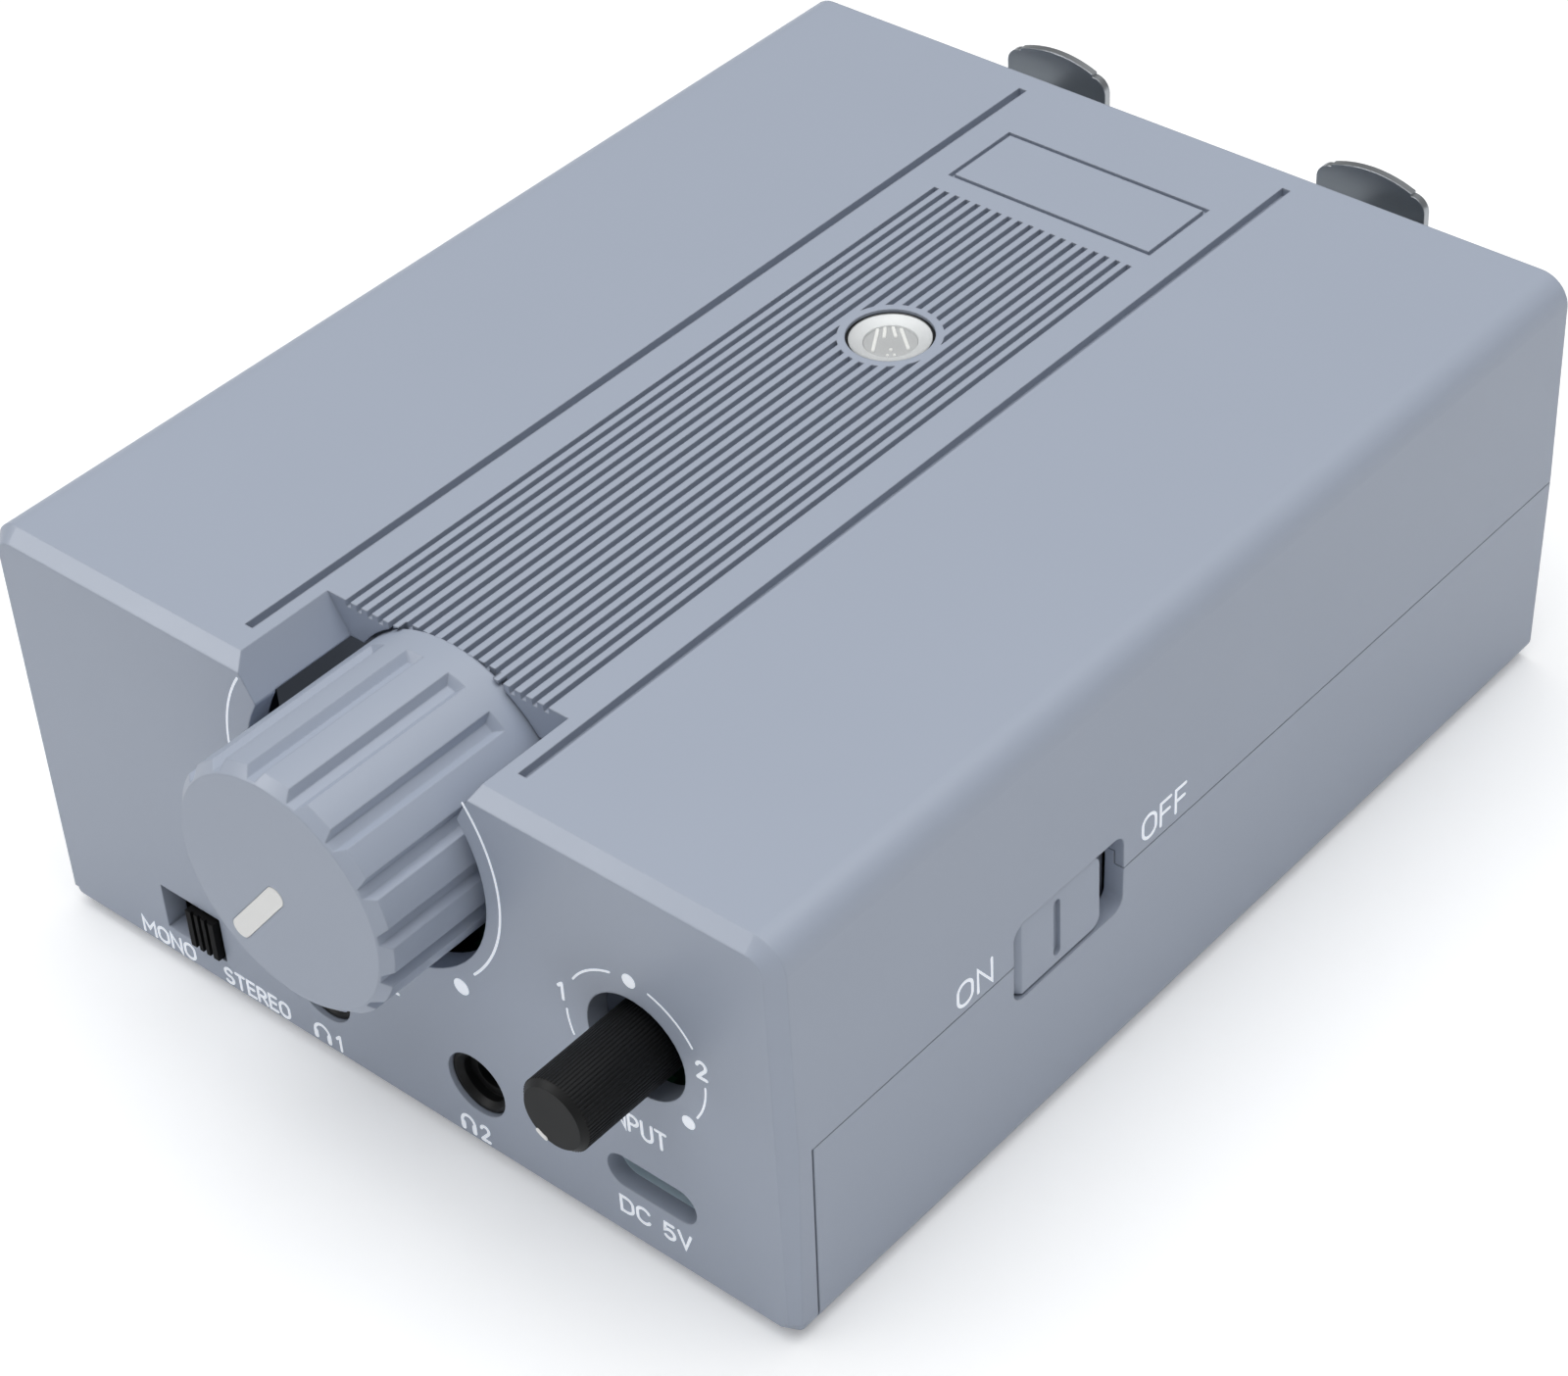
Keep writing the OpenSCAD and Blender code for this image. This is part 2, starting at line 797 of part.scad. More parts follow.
// A pan-head screw that points up, its head's underside at the origin
module screw_up(shank_r, shank_l, head_r, head_h) {
    difference() {
        union() {
            cylinder(r = shank_r, h = shank_l);
            translate([0, 0, -head_h]) cylinder(r = head_r, h = head_h);
        }
        for (turn = [0, 90]) {
            rotate([0, 0, turn]) translate([-head_r * screw_slot_share, -screw_slot_w / 2, -head_h - over])
                cube([2 * head_r * screw_slot_share, screw_slot_w, head_h / 2 + over]);
        }
    }
}

// Four screws from below hold the shells together
module case_screws() {
    color(metal_colour) at_home() for (p = case_places) {
        translate([p[0], p[1], case_head_h])
            screw_up(case_screw_r, case_screw_l - seat_gap - case_head_h,
                case_head_r, case_head_h - seat_gap);
    }
}

// Main circuit board on four bosses of the floor
module main_board() {
    color(board_colour) at_home() difference() {
        translate([-board_w / 2, board_front, board_low]) cube([board_w, board_back - board_front, board_t]);
        for (p = board_places) {
            translate([p[0], p[1], board_low - over])
                cylinder(r = small_screw_r + 2 * seat_gap, h = board_t + 2 * over);
        }
    }
}

// Four screws hold the main board
module board_screws() {
    color(metal_colour) at_home() for (p = board_places) {
        translate([p[0], p[1], board_top]) rotate([180, 0, 0])
            screw_up(small_screw_r, board_screw_l - seat_gap, small_head_r, small_head_h);
    }
}

// Amplifier chips on the main board
module amp_chips() {
    color(dark_colour) at_home() for (p = chip_shares) {
        translate([p[0] * board_w - chip_w / 2, p[1] * body_d - chip_d / 2, board_top])
            cube([chip_w, chip_d, chip_h]);
    }
}

// Round capacitors on the main board
module capacitors() {
    color("#3b4a63") at_home() for (p = cap_shares) {
        translate([p[0] * board_w, p[1] * body_d, board_top]) cylinder(r = cap_r, h = cap_h);
    }
}

// Black panel behind the front wall that carries both controls
module sub_panel() {
    color(dark_colour) at_home() difference() {
        translate([-panel_half_w, panel_y, panel_low])
            cube([panel_half_w + panel_right, panel_t, panel_high - panel_low]);
        rod_y(0, volume_z, volume_bushing_r + 2 * seat_gap, panel_y - over, panel_y + panel_t + over);
        rod_y(input_x, input_z, input_bushing_r + 2 * seat_gap, panel_y - over, panel_y + panel_t + over);
        for (p = panel_places) {
            rod_y(p[0], p[1], small_screw_r + 2 * seat_gap, panel_y - over, panel_y + panel_t + over);
        }
    }
}

// Four screws hold the sub panel against its bosses
module panel_screws() {
    color(metal_colour) at_home() for (p = panel_places) {
        translate([p[0], panel_y + panel_t, p[1]]) rotate([90, 0, 0])
            screw_up(small_screw_r, panel_screw_l + panel_t - 2 * seat_gap - front_wall,
                small_head_r, small_head_h);
    }
}

// Upright board behind the two controls, standing on the main board
module control_board() {
    color(board_colour) at_home()
        translate([-control_left, pot_back, board_top])
            cube([control_left + panel_right, board_t, control_high - board_top]);
}

// Volume control: round can, bushing and the bore its shaft turns in
module volume_pot() {
    color(metal_colour) at_home() difference() {
        union() {
            rod_y(0, volume_z, volume_can_r, panel_y + panel_t, pot_back);
            rod_y(0, volume_z, volume_bushing_r, bushing_front, panel_y + panel_t);
        }
        rod_y(0, volume_z, volume_shaft_r + run_gap, bushing_front - over, shaft_end + shaft_end_gap);
    }
}

// A hexagonal nut on a bushing, its back face against the sub panel
module bushing_nut(x, z, bushing_r) {
    difference() {
        translate([x, panel_y, z]) rotate([90, 0, 0])
            cylinder(r = bushing_r + nut_wall, h = nut_h, $fn = 6);
        rod_y(x, z, bushing_r + seat_gap, panel_y - nut_h - over, panel_y + over);
    }
}

// Nut of the volume control
module volume_nut() {
    color(metal_colour) at_home() bushing_nut(0, volume_z, volume_bushing_r);
}

// A shaft with a flat on its front half
module flat_shaft(x, z, r, front, back, flat_to) {
    difference() {
        rod_y(x, z, r, front, back);
        translate([x - r, front - over, z + r * shaft_flat]) cube([2 * r, flat_to - front + over, r]);
    }
}

// Shaft of the volume control
module volume_shaft() {
    color(metal_colour) at_home()
        flat_shaft(0, volume_z, volume_shaft_r, volume_shaft_front, shaft_end, hollow_floor + seat_gap);
}

// Cuts one flute: a tapered groove along Y whose rear end slants out
module flute() {
    floor_r = volume_r - flute_depth;
    end = volume_back - flute_stop;
    grow = (flute_w - flute_floor_w) / 2 / flute_depth * over;
    intersection() {
        along_y(-knob_reach - over, end)
            polygon([
                [-flute_floor_w / 2, floor_r], [flute_floor_w / 2, floor_r],
                [flute_w / 2 + grow, volume_r + over], [-flute_w / 2 - grow, volume_r + over],
            ]);
        along_x(-flute_w, flute_w)
            polygon([
                [-knob_reach - over, floor_r - over], [end - flute_slant, floor_r - over],
                [end - flute_slant, floor_r], [end, volume_r + over / 2],
                [end, volume_r + 2 * over], [-knob_reach - over, volume_r + 2 * over],
            ]);
    }
}

// The large fluted knob with a pocket for its pointer and a hollow rear
module volume_knob() {
    c = volume_chamfer;
    color(shell_colour) at_home() difference() {
        union() {
            rod_y(0, volume_z, volume_r - c, -knob_reach, c - knob_reach, volume_r);
            rod_y(0, volume_z, volume_r, c - knob_reach, volume_back - volume_rear_edge);
            rod_y(0, volume_z, volume_r, volume_back - volume_rear_edge, volume_back,
                volume_r - volume_rear_edge);
        }
        translate([0, 0, volume_z]) for (i = [0 : flutes - 1]) {
            rotate([0, flute_turn + i * 360 / flutes, 0]) flute();
        }
        pointer_bar(pointer_w, pointer_len, -knob_reach - over, pointer_depth - knob_reach);
        flat_shaft(0, volume_z, volume_shaft_r + seat_gap, volume_shaft_front - seat_gap,
            hollow_floor + over, hollow_floor + 2 * over);
        rod_y(0, volume_z, hollow_r, hollow_floor, volume_back + over);
    }
}

// A bar with round ends that runs outwards over the knob's face at its rest angle
module pointer_bar(w, l, from, to) {
    along_y(from, to) translate([0, volume_z]) rotate(pointer_turn)
        translate([pointer_start + l / 2, 0]) round_slot(l, w);
}

// White pointer let into the knob's face
module volume_pointer() {
    color("#f2f2ef") at_home()
        pointer_bar(pointer_w - 2 * seat_gap, pointer_len - 2 * seat_gap,
            -knob_reach - pointer_proud, pointer_depth - knob_reach);
}

// Input control: square can, bushing and bore
module input_pot() {
    color(metal_colour) at_home() difference() {
        union() {
            translate([input_x - input_can / 2, panel_y + panel_t, input_z - input_can / 2])
                cube([input_can, pot_d, input_can]);
            rod_y(input_x, input_z, input_bushing_r, input_bushing_front, panel_y + panel_t);
        }
        rod_y(input_x, input_z, input_shaft_r + run_gap, input_bushing_front - over, shaft_end + shaft_end_gap);
    }
}

// Nut of the input control
module input_nut() {
    color(metal_colour) at_home() bushing_nut(input_x, input_z, input_bushing_r);
}

// Shaft of the input control
module input_shaft() {
    color(metal_colour) at_home()
        flat_shaft(input_x, input_z, input_shaft_r, input_shaft_front, shaft_end, input_back + seat_gap);
}

// Slim black knob with a chamfered front
module input_knob() {
    c = input_chamfer;
    color(dark_colour) at_home() difference() {
        union() {
            rod_y(input_x, input_z, input_r - c, -knob_reach, c - knob_reach, input_r);
            rod_y(input_x, input_z, input_r, c - knob_reach, input_back);
        }
        flat_shaft(input_x, input_z, input_shaft_r + seat_gap, input_shaft_front - seat_gap,
            input_back + over, input_back + 2 * over);
    }
}

// Earphone socket: a nose in the front wall, a block on the board, a cup and a plug hole
module phones_jack(x) {
    cup_end = phones_face + phones_cup_d;
    color(dark_colour) at_home() difference() {
        union() {
            rod_y(x, phones_z, phones_nose_r, phones_face, front_wall + over);
            translate([x - phones_body_w / 2, front_wall, board_top])
                cube([phones_body_w, phones_body_back - front_wall, phones_body_top - board_top]);
        }
        rod_y(x, phones_z, phones_flare_r, phones_face, phones_face + phones_flare_d, phones_cup_r);
        rod_y(x, phones_z, phones_cup_r, phones_face - over, cup_end);
        rod_y(x, phones_z, phones_bore_r, cup_end - over, cup_end + phones_bore_l);
    }
}

module phones_jack_1() { phones_jack(-phones_x); }

module phones_jack_2() { phones_jack(phones_x); }

// Block that lifts the power inlet to the height of its slot
module usb_base() {
    color(dark_colour) at_home()
        translate([usb_x - usb_base_w / 2, board_front, board_top])
            cube([usb_base_w, usb_back - board_front, usb_z - usb_h / 2 - board_top]);
}

// Metal shell of the power inlet
module usb_shell() {
    color(metal_colour) at_home() difference() {
        along_y(usb_front, usb_back) translate([usb_x, usb_z]) round_slot(usb_w, usb_h);
        along_y(usb_front - over, usb_back - usb_skin) translate([usb_x, usb_z])
            round_slot(usb_w - 2 * usb_skin, usb_h - 2 * usb_skin);
    }
}

// Contact tongue and its block inside the power inlet
module usb_tongue() {
    inner_w = usb_w - 2 * usb_skin;
    inner_h = usb_h - 2 * usb_skin;
    color(dark_colour) at_home() {
        along_y(usb_floor_back, usb_back - usb_skin) translate([usb_x, usb_z])
            round_slot(inner_w - 2 * seat_gap, inner_h - 2 * seat_gap);
        translate([usb_x - usb_tongue_w / 2, usb_tongue_front, usb_z - usb_tongue_h / 2])
            cube([usb_tongue_w, usb_floor_back - usb_tongue_front, usb_tongue_h]);
    }
}

// Frame of the mode switch behind its opening
module mode_switch() {
    low = mode_z - mode_h / 2 - mode_side;
    high = mode_z + mode_h / 2 + mode_side;
    run = mode_w - 2 * slide_gap - mode_lever_w + mode_stem_w;
    color(dark_colour) at_home() difference() {
        translate([-mode_x - mode_body_w / 2, front_wall, low])
            cube([mode_body_w, mode_body_back - front_wall, high - low]);
        translate([-mode_x - mode_w / 2, front_wall - over, mode_z - mode_h / 2])
            cube([mode_w, mode_well - front_wall + over, mode_h]);
        translate([-mode_x - run / 2 - slide_gap, front_wall, mode_z - mode_stem_h / 2 - slide_gap])
            cube([run + 2 * slide_gap, mode_body_back - front_wall - mode_side, mode_stem_h + 2 * slide_gap]);
    }
}

// Lever of the mode switch with ridges on its face
module mode_lever() {
    x = mode_rest_x;
    color(dark_colour) at_home() difference() {
        union() {
            translate([x - mode_lever_w / 2, -mode_lever_out, mode_z - mode_lever_h / 2])
                cube([mode_lever_w, mode_lever_out + mode_well - slide_gap, mode_lever_h]);
            translate([x - mode_stem_w / 2, 0, mode_z - mode_stem_h / 2])
                cube([mode_stem_w, mode_body_back - 2 * mode_side - slide_gap, mode_stem_h]);
        }
        for (i = [0 : mode_ridges - 1]) {
            mid = x + (i - (mode_ridges - 1) / 2) * 2 * mode_ridge;
            translate([mid - mode_ridge / 2, -mode_lever_out - over, mode_z - mode_lever_h / 2 - over])
                cube([mode_ridge, mode_ridge_d + over, mode_lever_h + 2 * over]);
        }
    }
}

// Small upright board that carries the power switch
module switch_board() {
    color(board_colour) at_home()
        translate([switch_board_x, power_y - switch_board_w / 2, board_top])
            cube([board_t, switch_board_w, switch_board_high - board_top]);
}

// Power switch with a slot that the cap's stem slides in
module power_switch() {
    x = switch_board_x + board_t;
    color(dark_colour) at_home() difference() {
        translate([x, power_y - power_body_w / 2, power_z - power_body_h / 2])
            cube([power_body_out - x, power_body_w, power_body_h]);
        translate([power_stem_in - slide_gap, power_cap_y - power_stem_w / 2 - slide_gap,
            power_z - power_stem_w / 2 - slide_gap])
            cube([power_body_out - power_stem_in + 2 * slide_gap,
                power_stem_w + power_travel + 2 * slide_gap, power_stem_w + 2 * slide_gap]);
    }
}

// Sliding cap in the right side: a plate, a flange behind the wall and a stem
module power_cap() {
    face = body_w / 2 - power_sunk;
    flange_out = side_in - side_draft - slide_gap;
    flange_in = flange_out - power_flange_t;
    color(shell_colour) at_home() difference() {
        union() {
            along_x(flange_in, face)
                translate([power_cap_y, power_z]) round_rect(power_cap_w, power_cap_h, power_round - slide_gap);
            along_x(flange_in, flange_out)
                translate([power_cap_y, power_z])
                    square([power_cap_w + 2 * (power_travel + power_flange_over),
                        power_cap_h + 2 * power_flange_over], center = true);
            along_x(power_stem_in, flange_in + power_flange_t / 2)
                translate([power_cap_y, power_z]) square([power_stem_w, power_stem_w], center = true);
        }
        // Vertical mark in the middle of the plate
        along_x(face - power_mark_d, face + over)
            translate([power_cap_y, power_z]) round_slot_up(power_mark_w, power_mark_h);
        // Rounded lead at the front end of the plate
        translate([face, power_cap_y - power_cap_w / 2, power_z]) rotate([0, 0, 45])
            cube([power_nose, power_nose, power_h + 2 * over], center = true);
    }
}

// A slot with half-round ends that stands upright, centred
module round_slot_up(w, h) {
    rotate(90) round_slot(h, w);
}

// Clear lens with a low dome, flush with the top face
module status_lens() {
    rim = lens_h - lens_dome;
    color("#e6e8ea") at_home() translate([lens_x, lens_y, body_h - lens_h]) {
        cylinder(r = lens_r, h = rim);
        translate([0, 0, rim]) cylinder(r1 = lens_r, r2 = lens_r - 2 * lens_dome, h = lens_dome);
    }
}

// Dark ring between the lens and the shell
module lens_ring() {
    color(dark_colour) at_home() translate([lens_x, lens_y, body_h - wall]) difference() {
        cylinder(r = lens_r + lens_ring_w - seat_gap, h = wall - lens_dome);
        translate([0, 0, -over]) cylinder(r = lens_r + seat_gap, h = wall + 2 * over);
    }
}

// Bright cone below the lens
module lens_reflector() {
    high = body_h - lens_h;
    color(metal_colour) at_home() translate([lens_x, lens_y, reflector_low]) rotate_extrude()
        polygon([
            [reflector_low_r, 0], [reflector_low_r + reflector_skin, 0],
            [lens_r, high - reflector_low], [lens_r - reflector_skin, high - reflector_low],
        ]);
}

// Light source on its own small board
module status_led() {
    color("#f4f1e6") at_home()
        translate([lens_x - led_w / 2, lens_y - led_w / 2, led_board_high]) cube([led_w, led_w, led_h]);
}

// Small board below the lens, held by two bosses of the upper shell
module led_board() {
    color(board_colour) at_home() difference() {
        translate([lens_x - led_board_w / 2, lens_y - led_board_d / 2, led_board_high - led_board_t])
            cube([led_board_w, led_board_d, led_board_t]);
        for (side = [-1, 1]) {
            translate([lens_x + side * led_boss_x, lens_y, led_board_high - led_board_t - over])
                cylinder(r = small_screw_r + 2 * seat_gap, h = led_board_t + 2 * over);
        }
    }
}

// Two screws hold the small board
module led_screws() {
    color(metal_colour) at_home() for (side = [-1, 1]) {
        translate([lens_x + side * led_boss_x, lens_y, led_board_high - led_board_t])
            screw_up(small_screw_r, led_screw_l - 2 * seat_gap, small_head_r, small_head_h);
    }
}

// Metal shell of a line socket: flange, barrel and screw holes
module socket_shell(side) {
    x = side * line_x;
    color(metal_colour) at_home() difference() {
        union() {
            along_y(body_d, body_d + flange_t)
                translate([x, line_z]) round_rect(flange_w, flange_h, flange_round);
            rod_y(x, line_z, line_r, rear_in - barrel_in, body_d + line_reach);
        }
        rod_y(x, line_z, line_r - line_skin, rear_in - barrel_in - over, body_d + line_reach + over);
        tab_slot(side, body_d - over, body_d + flange_t + over);
        for (k = [-1, 1]) {
            rod_y(x + k * flange_screw_x, line_z + k * flange_screw_z,
                socket_screw_r + 2 * seat_gap, body_d - over, body_d + flange_t + over);
        }
    }
}

module socket_shell_left() { socket_shell(-1); }

module socket_shell_right() { socket_shell(1); }

// Black insert of a line socket with the plug hole and three contact holes
module socket_insert(side) {
    x = side * line_x;
    face = body_d + line_reach - insert_sunk;
    block_out = rear_in - barrel_in;
    color(dark_colour) at_home() difference() {
        union() {
            rod_y(x, line_z, line_insert_r, block_out - over, face);
            translate([x - line_block_w / 2, face - line_bore_l - line_block_back, board_top])
                cube([line_block_w, block_out - face + line_bore_l + line_block_back,
                    line_z + line_block_h - board_top]);
        }
        rod_y(x, line_z, line_bore_r, face - line_bore_l, face + over);
        for (turn = [90, 210, 330]) {
            rod_y(x + pin_circle * cos(turn), line_z + pin_circle * sin(turn), pin_hole_r,
                face - pin_depth, face + over);
        }
    }
}

module socket_insert_left() { socket_insert(-1); }

module socket_insert_right() { socket_insert(1); }

// Three sleeve contacts in each line socket
module socket_contacts() {
    face = body_d + line_reach - insert_sunk;
    color("#c9b27a") at_home() for (side = [-1, 1], turn = [90, 210, 330]) {
        x = side * line_x + pin_circle * cos(turn);
        z = line_z + pin_circle * sin(turn);
        difference() {
            rod_y(x, z, pin_hole_r - seat_gap, face - pin_depth, face - pin_sunk);
            rod_y(x, z, pin_hole_r - seat_gap - pin_wall, face - pin_depth + pin_sunk, face);
        }
    }
}

// Two screws at opposite corners of each flange
module socket_screws() {
    color(metal_colour) at_home() for (side = [-1, 1], k = [-1, 1]) {
        translate([side * line_x + k * flange_screw_x, body_d + flange_t, line_z + k * flange_screw_z])
            rotate([90, 0, 0]) screw_up(socket_screw_r, socket_screw_l, socket_head_r, socket_head_h);
    }
}

// Release tab: an arched thumb plate on a flat stem
module release_tab(side) {
    x = side * line_x;
    half = tab_w / 2;
    shoulder = tab_top - tab_shoulder - tab_corner_r;
    color("#8d9094") at_home() {
        along_y(body_d + tab_reach - tab_t, body_d + tab_reach) translate([x, 0]) {
            translate([-half, stem_low]) square([tab_w, shoulder - stem_low]);
            for (k = [-1, 1]) {
                translate([k * (half - tab_corner_r), shoulder]) circle(tab_corner_r);
            }
            intersection() {
                translate([0, tab_top - tab_crown_r]) circle(tab_crown_r);
                translate([tab_corner_r - half, stem_low])
                    square([tab_w - 2 * tab_corner_r, tab_top - stem_low]);
            }
        }
        translate([x - stem_w / 2, rear_in - stem_in, stem_low])
            cube([stem_w, wall + stem_in + tab_reach - tab_t, stem_t]);
    }
}

module release_tab_left() { release_tab(-1); }

module release_tab_right() { release_tab(1); }

top_shell();
bottom_shell();
case_screws();
rubber_feet();
main_board();
board_screws();
amp_chips();
capacitors();
sub_panel();
panel_screws();
control_board();
volume_pot();
volume_nut();
volume_shaft();
volume_knob();
volume_pointer();
input_pot();
input_nut();
input_shaft();
input_knob();
phones_jack_1();
phones_jack_2();
usb_base();
usb_shell();
usb_tongue();
mode_switch();
mode_lever();
switch_board();
power_switch();
power_cap();
status_lens();
lens_ring();
lens_reflector();
status_led();
led_board();
led_screws();
socket_shell_left();
socket_shell_right();
socket_insert_left();
socket_insert_right();
socket_contacts();
socket_screws();
release_tab_left();
release_tab_right();
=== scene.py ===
"""Looks of a headphone monitor amplifier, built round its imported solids.

Every size below is in millimetres on the amplifier's body, unless its name
ends in _m: x to the right along the front, y back from the front face, z up
from the underside. The class BodyFrame turns them into metres in the frame
that the solids use.
"""
import logging
import math
from collections.abc import Iterable, Sequence
from dataclasses import dataclass, field
from enum import Enum
from typing import Any

import bmesh
import bpy
from mathutils import Matrix, Vector


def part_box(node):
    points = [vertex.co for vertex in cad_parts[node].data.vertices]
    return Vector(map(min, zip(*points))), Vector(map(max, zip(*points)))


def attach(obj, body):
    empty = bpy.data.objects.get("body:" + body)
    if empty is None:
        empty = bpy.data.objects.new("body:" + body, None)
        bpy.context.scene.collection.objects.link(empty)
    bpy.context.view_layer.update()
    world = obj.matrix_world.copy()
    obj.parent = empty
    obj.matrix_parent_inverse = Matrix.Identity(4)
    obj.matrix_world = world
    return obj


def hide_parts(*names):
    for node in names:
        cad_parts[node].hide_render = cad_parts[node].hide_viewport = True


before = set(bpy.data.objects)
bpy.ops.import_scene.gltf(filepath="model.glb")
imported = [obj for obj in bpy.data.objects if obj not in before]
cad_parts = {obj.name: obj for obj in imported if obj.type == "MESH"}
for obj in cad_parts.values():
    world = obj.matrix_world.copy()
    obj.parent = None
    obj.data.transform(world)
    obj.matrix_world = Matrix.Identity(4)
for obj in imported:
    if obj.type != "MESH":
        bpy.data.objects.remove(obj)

log = logging.getLogger("amplifier")

MM = 0.001
# Edges flatter than this are shaded smooth
SMOOTH_DEG = 35.0
# Share of the grain's slope that the surface shows
GRAIN_STRENGTH = 0.5
# Rays that look for an edge, and for a groove whose painted shade darkens the colour, at each point
EDGE_SAMPLES = 4
GROOVE_SHADE_SAMPLES = 6
WHITE = (1.0, 1.0, 1.0, 1.0)
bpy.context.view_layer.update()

Point = tuple[float, float]
Span = tuple[float, float]
Triple = tuple[float, float, float]
Colour = tuple[float, float, float, float]
Stroke = list[Point]


def linear(hex_colour: str) -> Colour:
    """Turns an sRGB hex colour into linear light.

    Args:
        hex_colour: Six hex digits after a hash sign.

    Returns:
        Red, green, blue and alpha for a shader socket.
    """
    parts = [int(hex_colour[i:i + 2], 16) / 255 for i in (1, 3, 5)]
    light = [c / 12.92 if c <= 0.04045 else ((c + 0.055) / 1.055) ** 2.4 for c in parts]
    return (light[0], light[1], light[2], 1.0)


def add_node(tree: bpy.types.NodeTree, kind: str, inputs: dict[Any, Any] | None = None,
             **settings: Any) -> bpy.types.Node:
    """Adds one node with its settings, values and links.

    Args:
        tree: The tree that gets the node.
        kind: The node's type.
        inputs: Socket name or number to a value, or to the socket that feeds it.
        settings: Attributes of the node itself.

    Returns:
        The new node.
    """
    node = tree.nodes.new(kind)
    for name, value in settings.items():
        setattr(node, name, value)
    for name, value in (inputs or {}).items():
        if isinstance(value, bpy.types.NodeSocket):
            tree.links.new(value, node.inputs[name])
        else:
            node.inputs[name].default_value = value
    return node


def fresh_tree(owner: bpy.types.Material | bpy.types.World) -> bpy.types.NodeTree:
    """Turns on the owner's nodes and empties its tree."""
    owner.use_nodes = True
    owner.node_tree.nodes.clear()
    return owner.node_tree


def place_in_scene(item: bpy.types.Object) -> None:
    """Links an object to the scene."""
    bpy.context.scene.collection.objects.link(item)


# ---------------- finishes


